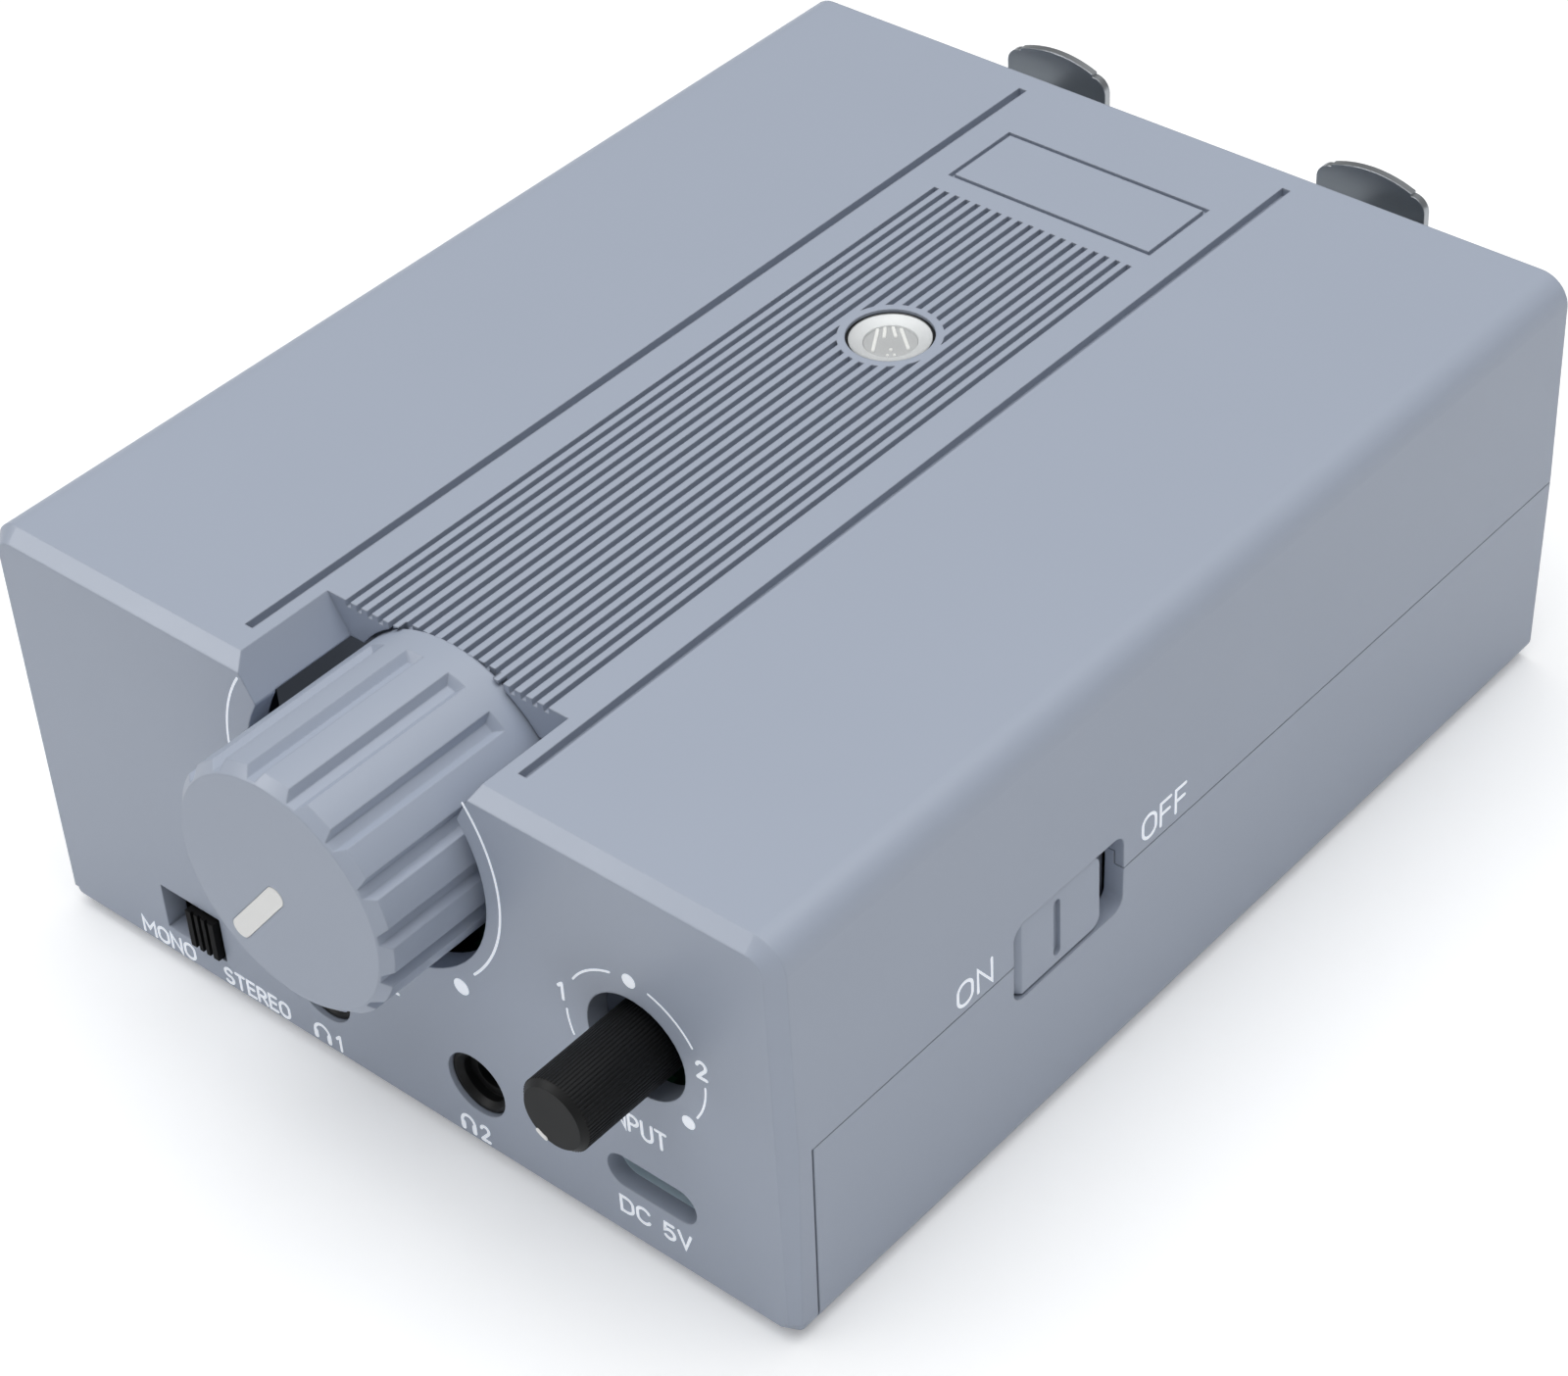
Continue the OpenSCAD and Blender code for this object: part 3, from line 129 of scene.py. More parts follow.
@dataclass(frozen=True)
class Finish:
    """What a surface is made of and how it takes the light."""

    name: str
    colour: str
    roughness: float
    metallic: float = 0.0
    ior: float = 1.5
    # Share of the plain mirror sheen that a dull or oily skin keeps
    sheen: float = 1.0
    # Size of the surface grain and how deep it is
    grain_mm: float = 0.3
    grain_depth_mm: float = 0.004
    # Share by which the colour drifts over the surface, and how far apart its clouds lie
    drift: float = 0.02
    drift_mm: float = 28.0
    # Share by which handling and tooling vary the roughness, and how far apart the worn places lie
    wear: float = 0.08
    wear_mm: float = 9.0
    # Radius that a real moulded or ground edge has
    edge_mm: float = 0.2
    # Painted shade in narrow grooves: the share of its colour that the surface loses there, how near the
    # grooves' walls stand, and the openness at which the loss is whole and at which it ends
    painted_groove_shade: float = 0.0
    painted_groove_shade_mm: float = 1.4
    painted_groove_shade_open: Span = (0.3, 0.8)

    def shader_values(self) -> dict[str, Any]:
        """Values that are the same all over the surface."""
        if self.metallic:
            return {"Metallic": self.metallic}
        return {"IOR": self.ior, "Specular IOR Level": 0.5 * self.sheen}

    def colour_socket(self, tree: bpy.types.NodeTree, place: bpy.types.NodeSocket) -> bpy.types.NodeSocket:
        """Makes the colour drift slightly over the surface and paints shade into narrow grooves.

        Args:
            tree: The material's tree.
            place: The object coordinates.

        Returns:
            The socket that carries the colour.
        """
        cloud = add_node(tree, "ShaderNodeTexNoise", {
            "Vector": place, "Scale": 1 / (self.drift_mm * MM), "Detail": 2.0})
        base = linear(self.colour)
        dark = tuple(c * (1 - self.drift) for c in base[:3]) + (1.0,)
        light = tuple(min(1.0, c * (1 + self.drift)) for c in base[:3]) + (1.0,)
        mix = add_node(tree, "ShaderNodeMix", {0: cloud.outputs["Fac"], 6: dark, 7: light}, data_type="RGBA")
        if not self.painted_groove_shade:
            return mix.outputs[2]
        # Painted shade: an ambient occlusion node darkens the colour where groove walls stand near, as shade
        # falls there
        near = add_node(tree, "ShaderNodeAmbientOcclusion", {
            "Distance": self.painted_groove_shade_mm * MM}, samples=GROOVE_SHADE_SAMPLES)
        shade = add_node(tree, "ShaderNodeMapRange", {
            "Value": near.outputs["AO"], "From Min": self.painted_groove_shade_open[0], "From Max": self.painted_groove_shade_open[1],
            "To Min": 1 - self.painted_groove_shade})
        deep = add_node(tree, "ShaderNodeMix", {
            0: 1.0, 6: mix.outputs[2], 7: shade.outputs["Result"]}, data_type="RGBA", blend_type="MULTIPLY")
        return deep.outputs[2]

    def roughness_socket(self, tree: bpy.types.NodeTree, place: bpy.types.NodeSocket) -> bpy.types.NodeSocket:
        """Varies the roughness a little, as handling and tooling leave it.

        Args:
            tree: The material's tree.
            place: The object coordinates.

        Returns:
            The socket that carries the roughness.
        """
        cloud = add_node(tree, "ShaderNodeTexNoise", {
            "Vector": place, "Scale": 1 / (self.wear_mm * MM), "Detail": 3.0})
        span = add_node(tree, "ShaderNodeMapRange", {
            "Value": cloud.outputs["Fac"],
            "To Min": self.roughness * (1 - self.wear), "To Max": min(1.0, self.roughness * (1 + self.wear))})
        return span.outputs["Result"]

    def grain_socket(self, tree: bpy.types.NodeTree, place: bpy.types.NodeSocket) -> bpy.types.NodeSocket:
        """Draws the height pattern of the surface, an even fine grain.

        Args:
            tree: The material's tree.
            place: The object coordinates.

        Returns:
            The socket that carries the height.
        """
        grain = add_node(tree, "ShaderNodeTexNoise", {
            "Vector": place, "Scale": 1 / (self.grain_mm * MM), "Detail": 1.0})
        return grain.outputs["Fac"]

    def material(self) -> bpy.types.Material:
        """Builds the procedural material once.

        Returns:
            The material, shared by every piece with this finish.
        """
        made = bpy.data.materials.get(self.name)
        if made:
            return made
        made = bpy.data.materials.new(self.name)
        tree = fresh_tree(made)
        place = add_node(tree, "ShaderNodeTexCoord").outputs["Object"]
        edge = add_node(tree, "ShaderNodeBevel", {"Radius": self.edge_mm * MM}, samples=EDGE_SAMPLES)
        bump = add_node(tree, "ShaderNodeBump", {
            "Strength": GRAIN_STRENGTH, "Distance": self.grain_depth_mm * MM,
            "Height": self.grain_socket(tree, place), "Normal": edge.outputs["Normal"]})
        shader = add_node(tree, "ShaderNodeBsdfPrincipled", {
            "Base Color": self.colour_socket(tree, place),
            "Roughness": self.roughness_socket(tree, place),
            "Normal": bump.outputs["Normal"], **self.shader_values()})
        add_node(tree, "ShaderNodeOutputMaterial", {"Surface": shader.outputs[0]})
        return made


@dataclass(frozen=True)
class BrushedFinish(Finish):
    """Metal with fine parallel marks that a belt or a cutter leaves."""

    mark_mm: float = 0.12
    # The marks are twenty times as long as they are wide
    stretch: float = 0.05

    def grain_socket(self, tree: bpy.types.NodeTree, place: bpy.types.NodeSocket) -> bpy.types.NodeSocket:
        """Draws streaks along x at the real spacing of the marks.

        Args:
            tree: The material's tree.
            place: The object coordinates.

        Returns:
            The socket that carries the height.
        """
        stretch = add_node(tree, "ShaderNodeMapping", {"Vector": place, "Scale": (self.stretch, 1.0, 1.0)})
        grain = add_node(tree, "ShaderNodeTexNoise", {
            "Vector": stretch.outputs["Vector"], "Scale": 1 / (self.mark_mm * MM), "Detail": 2.0})
        return grain.outputs["Fac"]


@dataclass(frozen=True)
class LaminateFinish(Finish):
    """Circuit board lacquer over woven glass and etched copper."""

    track_mm: float = 2.4
    track_colour: str = "#2f6a49"
    # Where a track's edge begins and ends, as a share of the spacing
    track_edge: Span = (0.28, 0.32)

    def colour_socket(self, tree: bpy.types.NodeTree, place: bpy.types.NodeSocket) -> bpy.types.NodeSocket:
        """Draws paler bands where copper tracks lie below the lacquer.

        Args:
            tree: The material's tree.
            place: The object coordinates.

        Returns:
            The socket that carries the colour.
        """
        cells = add_node(tree, "ShaderNodeTexVoronoi", {
            "Vector": place, "Scale": 1 / (self.track_mm * MM)}, distance="CHEBYCHEV")
        step = add_node(tree, "ShaderNodeMapRange", {
            "Value": cells.outputs["Distance"],
            "From Min": self.track_edge[0], "From Max": self.track_edge[1]})
        mix = add_node(tree, "ShaderNodeMix", {
            0: step.outputs["Result"], 6: linear(self.track_colour), 7: linear(self.colour)},
            data_type="RGBA")
        return mix.outputs[2]


@dataclass(frozen=True)
class ClearFinish(Finish):
    """Clear moulded plastic that lets the light through to what lies below."""

    cover: float = 0.2

    def shader_values(self) -> dict[str, Any]:
        """Adds how much of the surface is seen against what is below it."""
        return {**super().shader_values(), "Alpha": self.cover}


@dataclass(frozen=True)
class GlowFinish(Finish):
    """A surface with a faint glow; on the printed ink, the panel behind the knobs and the light's facets and
    beads the glow is painted light.
    """

    glow: float = 0.6

    def shader_values(self) -> dict[str, Any]:
        """Adds the glow to the plain values."""
        return {**super().shader_values(),
                "Emission Color": linear(self.colour), "Emission Strength": self.glow}


# Case: moulded ABS with a satin coat of paint, smooth with a faint grain; painted shade darkens its colour in
# narrow grooves
CASE = Finish("Painted_ABS_satin", "#a7b0c0", 0.38, ior=1.5, painted_groove_shade=0.2, grain_mm=0.35, drift=0.012,
              edge_mm=0.25)
# Black parts: moulded nylon, a little duller than the case
BLACK = Finish("Moulded_nylon_black", "#121314", 0.5, ior=1.53, sheen=0.45, grain_mm=0.25,
               grain_depth_mm=0.004, edge_mm=0.12)
# The mode switch and its lever: acetal, deep black and dull
ACETAL = Finish("Acetal_black", "#0c0c0d", 0.6, ior=1.48, sheen=0.3, grain_mm=0.25, grain_depth_mm=0.002,
                edge_mm=0.08)
# The panel behind the knobs: the same nylon, quite dull, with its colour made paler as painted light. Its
# faint glow is painted light too, standing for the light that strays in through the notch
PANEL = GlowFinish("Moulded_nylon_painted_light", "#5c626c", 0.75, ior=1.53, sheen=0.6, grain_mm=0.4,
                   grain_depth_mm=0.01, edge_mm=0.2, glow=0.28)
# The pointer is poured in white and ground flush
POINTER = Finish("Acrylic_white", "#f6f6f4", 0.3, ior=1.49, grain_depth_mm=0.001, edge_mm=0.15)
# Screen-printed ink, slightly raised; its faint glow is painted light that makes it brighter than the light
# on it gives
INK = GlowFinish("Screen_ink_white", "#f2f7ff", 0.45, ior=1.5, grain_mm=0.15, grain_depth_mm=0.001, drift=0.0,
                 edge_mm=0.01, glow=0.24)
# Zinc and steel parts with a thin bright nickel plate
NICKEL = BrushedFinish("Nickel_plate", "#b2b6ba", 0.3, metallic=1.0, grain_depth_mm=0.002, edge_mm=0.15)
# Zinc-plated steel screws, shafts and cans
STEEL = BrushedFinish("Zinced_steel", "#b4b6b8", 0.34, metallic=1.0, grain_depth_mm=0.004, edge_mm=0.1,
                      mark_mm=0.16)
# Sprung contacts with a thin gold flash
CONTACT = Finish("Gold_flash", "#d9b56a", 0.25, metallic=1.0, grain_depth_mm=0.001, edge_mm=0.05)
# Circuit boards under green lacquer
BOARD = LaminateFinish("Lacquered_laminate", "#1d4a33", 0.38, ior=1.55, grain_mm=0.6)
# Feet: moulded silicone rubber, dull and dark
RUBBER = Finish("Silicone_rubber", "#28292a", 0.8, ior=1.43, grain_mm=0.5, grain_depth_mm=0.02)
# Lens: clear acrylic, polished
LENS = ClearFinish("Acrylic_clear", "#f4f6f8", 0.05, ior=1.49, grain_depth_mm=0.0005, edge_mm=0.3)
# Cup below the lens: plastic with a vacuum-coated aluminium skin
MIRROR_CUP = Finish("Aluminised_plastic", "#eceeee", 0.6, metallic=1.0, grain_depth_mm=0.002, edge_mm=0.05)
# Light source, and the facets and beads on its plate: milky epoxy with a faint glow, which on the facets and
# beads is a painted highlight
LIGHT = GlowFinish("Epoxy_milky", "#fbfbf6", 0.35, ior=1.52, glow=0.15)
# Capacitor sleeves: shrunk printed film
SLEEVE = Finish("Shrunk_sleeve", "#3b4a63", 0.3, ior=1.5, grain_mm=0.8)
# Plate over the light source: opal plastic that spreads its light
OPAL = Finish("Polycarbonate_opal", "#a9abaa", 0.45, ior=1.58, grain_depth_mm=0.001, edge_mm=0.1)
# Thin lining of the inlet's slot: pale tinted nylon
GASKET = Finish("Moulded_nylon_pale", "#dcf0fa", 0.55, ior=1.53, grain_depth_mm=0.001, edge_mm=0.02)

NODE_FINISHES: dict[Finish, tuple[str, ...]] = {
    CASE: ("top_shell", "bottom_shell", "volume_knob", "power_cap"),
    PANEL: ("sub_panel",),
    BLACK: ("input_knob", "phones_jack_1", "phones_jack_2", "usb_base", "usb_tongue",
            "power_switch", "lens_ring", "socket_insert_left", "socket_insert_right", "amp_chips"),
    ACETAL: ("mode_switch", "mode_lever"),
    POINTER: ("volume_pointer",),
    NICKEL: ("usb_shell", "socket_shell_left", "socket_shell_right", "release_tab_left", "release_tab_right"),
    STEEL: ("case_screws", "board_screws", "panel_screws", "volume_pot", "volume_nut", "volume_shaft",
            "input_pot", "input_nut", "input_shaft", "led_screws", "socket_screws"),
    CONTACT: ("socket_contacts",),
    BOARD: ("main_board", "control_board", "switch_board", "led_board"),
    RUBBER: ("rubber_feet",),
    LENS: ("status_lens",),
    MIRROR_CUP: ("lens_reflector",),
    LIGHT: ("status_led",),
    SLEEVE: ("capacitors",),
}


# ---------------- frame and pieces


@dataclass(frozen=True)
class BodyFrame:
    """Turns body millimetres into metres in the shared frame."""

    body_h: float = 48.8
    front_y: float = field(default_factory=lambda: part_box("top_shell")[0].y)
    top_z: float = field(default_factory=lambda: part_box("top_shell")[1].z)

    def at(self, x: float, y: float, z: float) -> Vector:
        """The point in metres of a place given in body millimetres."""
        return Vector((x * MM, y * MM + self.front_y, (z - self.body_h) * MM + self.top_z))

    def plane(self, origin: Triple, across: Triple, up: Triple) -> Matrix:
        """A drawing plane on the body.

        Args:
            origin: Where the drawing's origin lies, in body millimetres.
            across: The direction of the drawing's first axis.
            up: The direction of its second axis.

        Returns:
            A matrix from drawing millimetres to the shared frame in metres.
        """
        u, v = Vector(across), Vector(up)
        turn = Matrix((u, v, u.cross(v))).transposed().to_4x4()
        return Matrix.Translation(self.at(*origin)) @ turn @ Matrix.Scale(MM, 4)


BODY = BodyFrame()


class Piece:
    """A mesh that Blender adds to the solids."""

    def __init__(self, name: str, finish: Finish, body: str, slot: str) -> None:
        """Starts an empty piece.

        Args:
            name: Name of the piece.
            finish: What it is made of.
            body: The moving or fixed body that it rides on.
            slot: Its material slot; kept on the piece but not used.
        """
        self.name = name
        self.finish = finish
        self.body = body
        self.slot = slot
        self.mesh = bmesh.new()

    def finish_mesh(self, replaces: Sequence[str] = ()) -> bpy.types.Object:
        """Turns the collected faces into an object that rides on its body.

        Args:
            replaces: Nodes that this piece stands for.

        Returns:
            The new object.
        """
        bmesh.ops.recalc_face_normals(self.mesh, faces=self.mesh.faces)
        data = bpy.data.meshes.new(self.name)
        self.mesh.to_mesh(data)
        self.mesh.free()
        return self.dress(data, replaces)

    def dress(self, data: bpy.types.Mesh, replaces: Sequence[str] = ()) -> bpy.types.Object:
        """Links a mesh as this piece, with its finish and body.

        Args:
            data: The finished mesh, in metres in the shared frame.
            replaces: Nodes that this piece stands for.

        Returns:
            The new object.
        """
        data.name = self.name
        data.materials.clear()
        data.materials.append(self.finish.material())
        data.shade_smooth()
        data.set_sharp_from_angle(angle=math.radians(SMOOTH_DEG))
        item = bpy.data.objects.new(self.name, data)
        place_in_scene(item)
        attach(item, self.body)
        if replaces:
            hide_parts(*replaces)
        log.info("%s: %d faces on %s", self.name, len(data.polygons), self.body)
        return item


# ---------------- drawn marks


def arc(centre: Point, radii: Point, start: float, end: float, steps: int = 14) -> Stroke:
    """Points along an arc of an ellipse.

    Args:
        centre: Middle of the ellipse.
        radii: Its half width and half height.
        start: First angle in degrees, counted anticlockwise from the right.
        end: Last angle in degrees.
        steps: How many stretches the arc is divided into.

    Returns:
        The points, both ends included.
    """
    turns = [math.radians(start + (end - start) * i / steps) for i in range(steps + 1)]
    return [(centre[0] + radii[0] * math.cos(t), centre[1] + radii[1] * math.sin(t)) for t in turns]


# Each letter's width and strokes on a height of one, as engraving letters are drawn
LETTERS: dict[str, tuple[float, list[Stroke]]] = {
    " ": (0.3, []),
    "I": (0.0, [[(0, 0), (0, 1)]]),
    "M": (0.74, [[(0, 0), (0, 1), (0.37, 0.36), (0.74, 1), (0.74, 0)]]),
    "N": (0.6, [[(0, 0), (0, 1), (0.6, 0), (0.6, 1)]]),
    "O": (0.62, [arc((0.31, 0.66), (0.31, 0.34), 180, 0) + arc((0.31, 0.34), (0.31, 0.34), 0, -180)
                 + [(0, 0.66)]]),
    "C": (0.58, [arc((0.31, 0.68), (0.31, 0.32), 25, 180) + arc((0.31, 0.32), (0.31, 0.32), 180, 335)]),
    "D": (0.6, [[(0, 0), (0, 1)] + arc((0.26, 0.66), (0.34, 0.34), 90, 0)
                + arc((0.26, 0.34), (0.34, 0.34), 0, -90) + [(0, 0)]]),
    "E": (0.48, [[(0.48, 1), (0, 1), (0, 0), (0.48, 0)], [(0, 0.52), (0.42, 0.52)]]),
    "F": (0.48, [[(0.48, 1), (0, 1), (0, 0)], [(0, 0.5), (0.42, 0.5)]]),
    "L": (0.46, [[(0, 1), (0, 0), (0.46, 0)]]),
    "P": (0.54, [[(0, 0), (0, 1)], [(0, 1)] + arc((0.28, 0.735), (0.26, 0.265), 90, -90) + [(0, 0.47)]]),
    "R": (0.56, [[(0, 0), (0, 1)], [(0, 1)] + arc((0.28, 0.735), (0.26, 0.265), 90, -90) + [(0, 0.47)],
                 [(0.28, 0.47), (0.56, 0)]]),
    "S": (0.54, [arc((0.27, 0.745), (0.26, 0.255), 35, 270) + arc((0.27, 0.25), (0.27, 0.25), 88, -145)]),
    "T": (0.56, [[(0, 1), (0.56, 1)], [(0.28, 1), (0.28, 0)]]),
    "U": (0.58, [[(0, 1)] + arc((0.29, 0.3), (0.29, 0.3), 180, 360) + [(0.58, 1)]]),
    "V": (0.6, [[(0, 1), (0.3, 0), (0.6, 1)]]),
    "1": (0.24, [[(0, 0.76), (0.24, 1)], [(0.24, 1), (0.24, 0)]]),
    "2": (0.52, [arc((0.26, 0.73), (0.26, 0.27), 170, -38) + [(0, 0)], [(0, 0), (0.53, 0)]]),
    "5": (0.52, [[(0.48, 1), (0.07, 1), (0.04, 0.53)] + arc((0.25, 0.33), (0.27, 0.3), 130, -140)]),
}


@dataclass
class PrintedMarks:
    """White lines, dots and plain words printed on one face of the case."""

    piece: Piece
    plane: Matrix
    line: float = 0.35
    raised: float = 0.03
    sunk: float = 0.02
    # Strokes that cross lie at four heights in turn, so that none shares its face with another
    layer: float = 0.006
    layers: int = 4
    laid: int = field(default=0, init=False)
    cap_steps: int = 6
    dot_steps: int = 24
    # A sharp corner's point is drawn out to no more than half the line's width over this
    least_lean: float = 0.45
    # The space between letters, on the scale of the table of letters
    letter_space: float = 0.24
    # The headphone sign: its pads in line widths, then shares of its width and its height
    pad_lines: float = 1.7
    bow_drop: float = 0.48
    bow_rise: float = 0.44
    foot_share: float = 0.2
    pad_share: float = 0.42
    pad_lean: float = 0.12

    def _both(self, points: Iterable[Point]) -> tuple[list[bmesh.types.BMVert], list[bmesh.types.BMVert]]:
        """Adds each point twice, above and below the printed face.

        Args:
            points: Places on the drawing plane.

        Returns:
            The vertices above the face and those below it.
        """
        flat = list(points)
        new = self.piece.mesh.verts.new
        top = self.raised + self.layer * (self.laid % self.layers)
        above = [new(self.plane @ Vector((p[0], p[1], top))) for p in flat]
        below = [new(self.plane @ Vector((p[0], p[1], -self.sunk))) for p in flat]
        return above, below

    def _wall(self, above: list[bmesh.types.BMVert], below: list[bmesh.types.BMVert]) -> None:
        """Closes the gap between the upper and the lower outline."""
        for i in range(len(above)):
            self.piece.mesh.faces.new((above[i - 1], above[i], below[i], below[i - 1]))

    def dot(self, centre: Point, diameter: float) -> None:
        """Prints a round dot.

        Args:
            centre: Its middle.
            diameter: Its width.
        """
        turn = 360 - 360 / self.dot_steps
        above, below = self._both(arc(centre, (diameter / 2, diameter / 2), 0, turn, self.dot_steps - 1))
        self.piece.mesh.faces.new(above)
        self.piece.mesh.faces.new(below)
        self._wall(above, below)

    def stroke(self, points: Stroke, width: float | None = None) -> None:
        """Prints one line of even width with round ends.

        Args:
            points: The line's middle, from end to end. A line that ends where it starts is closed.
            width: Its width, or the usual one when left out.
        """
        self.laid += 1
        half = (width or self.line) / 2
        closed = math.dist(points[0], points[-1]) < half / 4
        path = points[:-1] if closed else points
        count = len(path)
        left: Stroke = []
        right: Stroke = []
        for i, (x, y) in enumerate(path):
            before = path[i - 1] if closed or i > 0 else None
            after = path[(i + 1) % count] if closed or i < count - 1 else None
            ways = []
            if before:
                ways.append(Vector((x - before[0], y - before[1])).normalized())
            if after:
                ways.append(Vector((after[0] - x, after[1] - y)).normalized())
            way = sum(ways, Vector((0.0, 0.0))).normalized()
            lean = max(self.least_lean, way.dot(ways[0]))
            side = Vector((-way.y, way.x)) * half / lean
            left.append((x + side.x, y + side.y))
            right.append((x - side.x, y - side.y))
        if closed:
            self._closed_band(left, right)
        else:
            self._open_band(path, left, right, half)

    def _closed_band(self, left: Stroke, right: Stroke) -> None:
        """Adds a ring-shaped line.

        Args:
            left: Its one edge.
            right: Its other edge, point for point.
        """
        la, lb = self._both(left)
        ra, rb = self._both(right)
        for i in range(len(left)):
            self.piece.mesh.faces.new((la[i - 1], la[i], ra[i], ra[i - 1]))
            self.piece.mesh.faces.new((lb[i - 1], lb[i], rb[i], rb[i - 1]))
        self._wall(la, lb)
        self._wall(ra, rb)

    def _open_band(self, path: Stroke, left: Stroke, right: Stroke, half: float) -> None:
        """Adds a line with a round cap at each end.

        Args:
            path: The line's middle.
            left: Its left edge, point for point.
            right: Its right edge, point for point.
            half: Half its width.
        """
        caps = []
        for end, edge in ((path[-1], left[-1]), (path[0], right[0])):
            start = math.degrees(math.atan2(edge[1] - end[1], edge[0] - end[0]))
            caps.append(arc(end, (half, half), start, start - 180, self.cap_steps)[1:-1])
        count, extra = len(path), len(caps[0])
        above, below = self._both(left + caps[0] + right[::-1] + caps[1])
        for level in (above, below):
            for i in range(count - 1):
                j = 2 * count + extra - 1 - i
                self.piece.mesh.faces.new((level[i], level[i + 1], level[j - 1], level[j]))
            self.piece.mesh.faces.new(level[count - 1:count + extra + 1])
            self.piece.mesh.faces.new(level[2 * count + extra - 1:] + [level[0]])
        self._wall(above, below)

    def word(self, text: str, low: Point, high: Point) -> None:
        """Prints a word that just fills a rectangle.

        Args:
            text: Letters that the table of letters holds.
            low: Lower left corner of the rectangle.
            high: Upper right corner.
        """
        height = high[1] - low[1] - self.line
        natural = sum(LETTERS[c][0] for c in text) + self.letter_space * (len(text) - 1)
        scale = (high[0] - low[0] - self.line) / max(natural, self.letter_space)
        if len(text) == 1:
            scale = height
        x = low[0] + self.line / 2
        for c in text:
            width, strokes = LETTERS[c]
            for stroke in strokes:
                self.stroke([(x + u * scale, low[1] + self.line / 2 + v * height) for u, v in stroke])
            x += (width + self.letter_space) * scale

    def headphones(self, low: Point, high: Point) -> None:
        """Prints the usual headphone sign: a bow with an ear pad at each end.

        Args:
            low: Lower left corner of the sign.
            high: Upper right corner.
        """
        width, height = high[0] - low[0], high[1] - low[1]
        pad = self.line * self.pad_lines
        inset = pad / 2
        bow = arc((low[0] + width / 2, high[1] - width * self.bow_drop),
                  (width / 2 - inset, width * self.bow_rise), 180, 0)
        foot = low[1] + height * self.foot_share
        self.stroke([(bow[0][0], foot)] + bow + [(bow[-1][0], foot)])
        for x, lean in ((bow[0][0], self.pad_lean), (bow[-1][0], -self.pad_lean)):
            self.stroke([(x + lean, low[1] + inset), (x + lean, low[1] + height * self.pad_share)], pad)


@dataclass
class FrontPrint:
    """Scales, numbers and plain words on the front face."""

    volume_centre: Point = (-0.4, 36.9)
    volume_radius: float = 17.45
    # Both scales are drawn finer than the words
    volume_line: float = 0.27
    volume_arcs: tuple[Point, ...] = ((34.5, -43.0), (146.0, 222.0))
    volume_dots: tuple[Point, ...] = ((10.28, 22.19), (-10.9, 22.19))
    volume_dot: float = 1.9
    input_centre: Point = (32.51, 27.87)
    input_radius: float = 8.25
    input_line: float = 0.22
    arc_steps: int = 32
    input_arcs: tuple[Point, ...] = ((148.0, 106.0), (74.0, 31.0), (0.0, -33.0), (201.0, 181.0))
    input_dots: tuple[Point, ...] = ((32.55, 36.09), (38.3, 22.08))
    input_dot: float = 1.55
    words: tuple[tuple[str, Point, Point], ...] = (
        ("INPUT", (28.2, 16.0), (35.3, 18.5)), ("VOL", (-3.4, 15.5), (1.2, 18.0)),
        ("DC 5V", (28.3, 4.0), (37.3, 6.3)), ("MONO", (-38.0, 1.6), (-30.0, 3.85)),
        ("STEREO", (-25.8, 1.6), (-16.2, 3.85)), ("1", (23.3, 28.6), (24.3, 30.9)),
        ("2", (39.8, 28.8), (41.3, 31.1)), ("1", (-9.7, 1.7), (-8.7, 3.95)), ("2", (10.0, 1.7), (11.6, 3.95)),
    )
    signs: tuple[tuple[Point, Point], ...] = (((-13.0, 1.7), (-10.3, 4.0)), ((7.3, 1.7), (9.6, 4.0)))

    def build(self) -> bpy.types.Object:
        """Prints everything on the front as one piece.

        Returns:
            The printed piece.
        """
        marks = PrintedMarks(Piece("front_print", INK, "case", "pointer"),
                             BODY.plane((0, 0, 0), (1, 0, 0), (0, 0, 1)))
        for centre, radius, arcs, width in (
                (self.volume_centre, self.volume_radius, self.volume_arcs, self.volume_line),
                (self.input_centre, self.input_radius, self.input_arcs, self.input_line)):
            for start, end in arcs:
                marks.stroke(arc(centre, (radius, radius), start, end, self.arc_steps), width)
        for places, size in ((self.volume_dots, self.volume_dot), (self.input_dots, self.input_dot)):
            for place in places:
                marks.dot(place, size)
        for text, low, high in self.words:
            marks.word(text, low, high)
        for low, high in self.signs:
            marks.headphones(low, high)
        return marks.piece.finish_mesh()


@dataclass
class SidePrint:
    """The words at the ends of the power slider."""

    words: tuple[tuple[str, Point, Point], ...] = (
        ("ON", (23.5, 24.2), (28.8, 27.3)), ("OFF", (51.5, 24.4), (58.7, 27.5)))
    half_width: float = 50.0

    def build(self) -> bpy.types.Object:
        """Prints both words on the right side as one piece.

        Returns:
            The printed piece.
        """
        marks = PrintedMarks(Piece("side_print", INK, "case", "pointer"),
                             BODY.plane((self.half_width, 0, 0), (0, 1, 0), (0, 0, 1)))
        for text, low, high in self.words:
            marks.word(text, low, high)
        return marks.piece.finish_mesh()


# ---------------- repeated forms


class Unit(Enum):
    """What a row repeats."""

    PAD = "pad"
    BEAD = "bead"


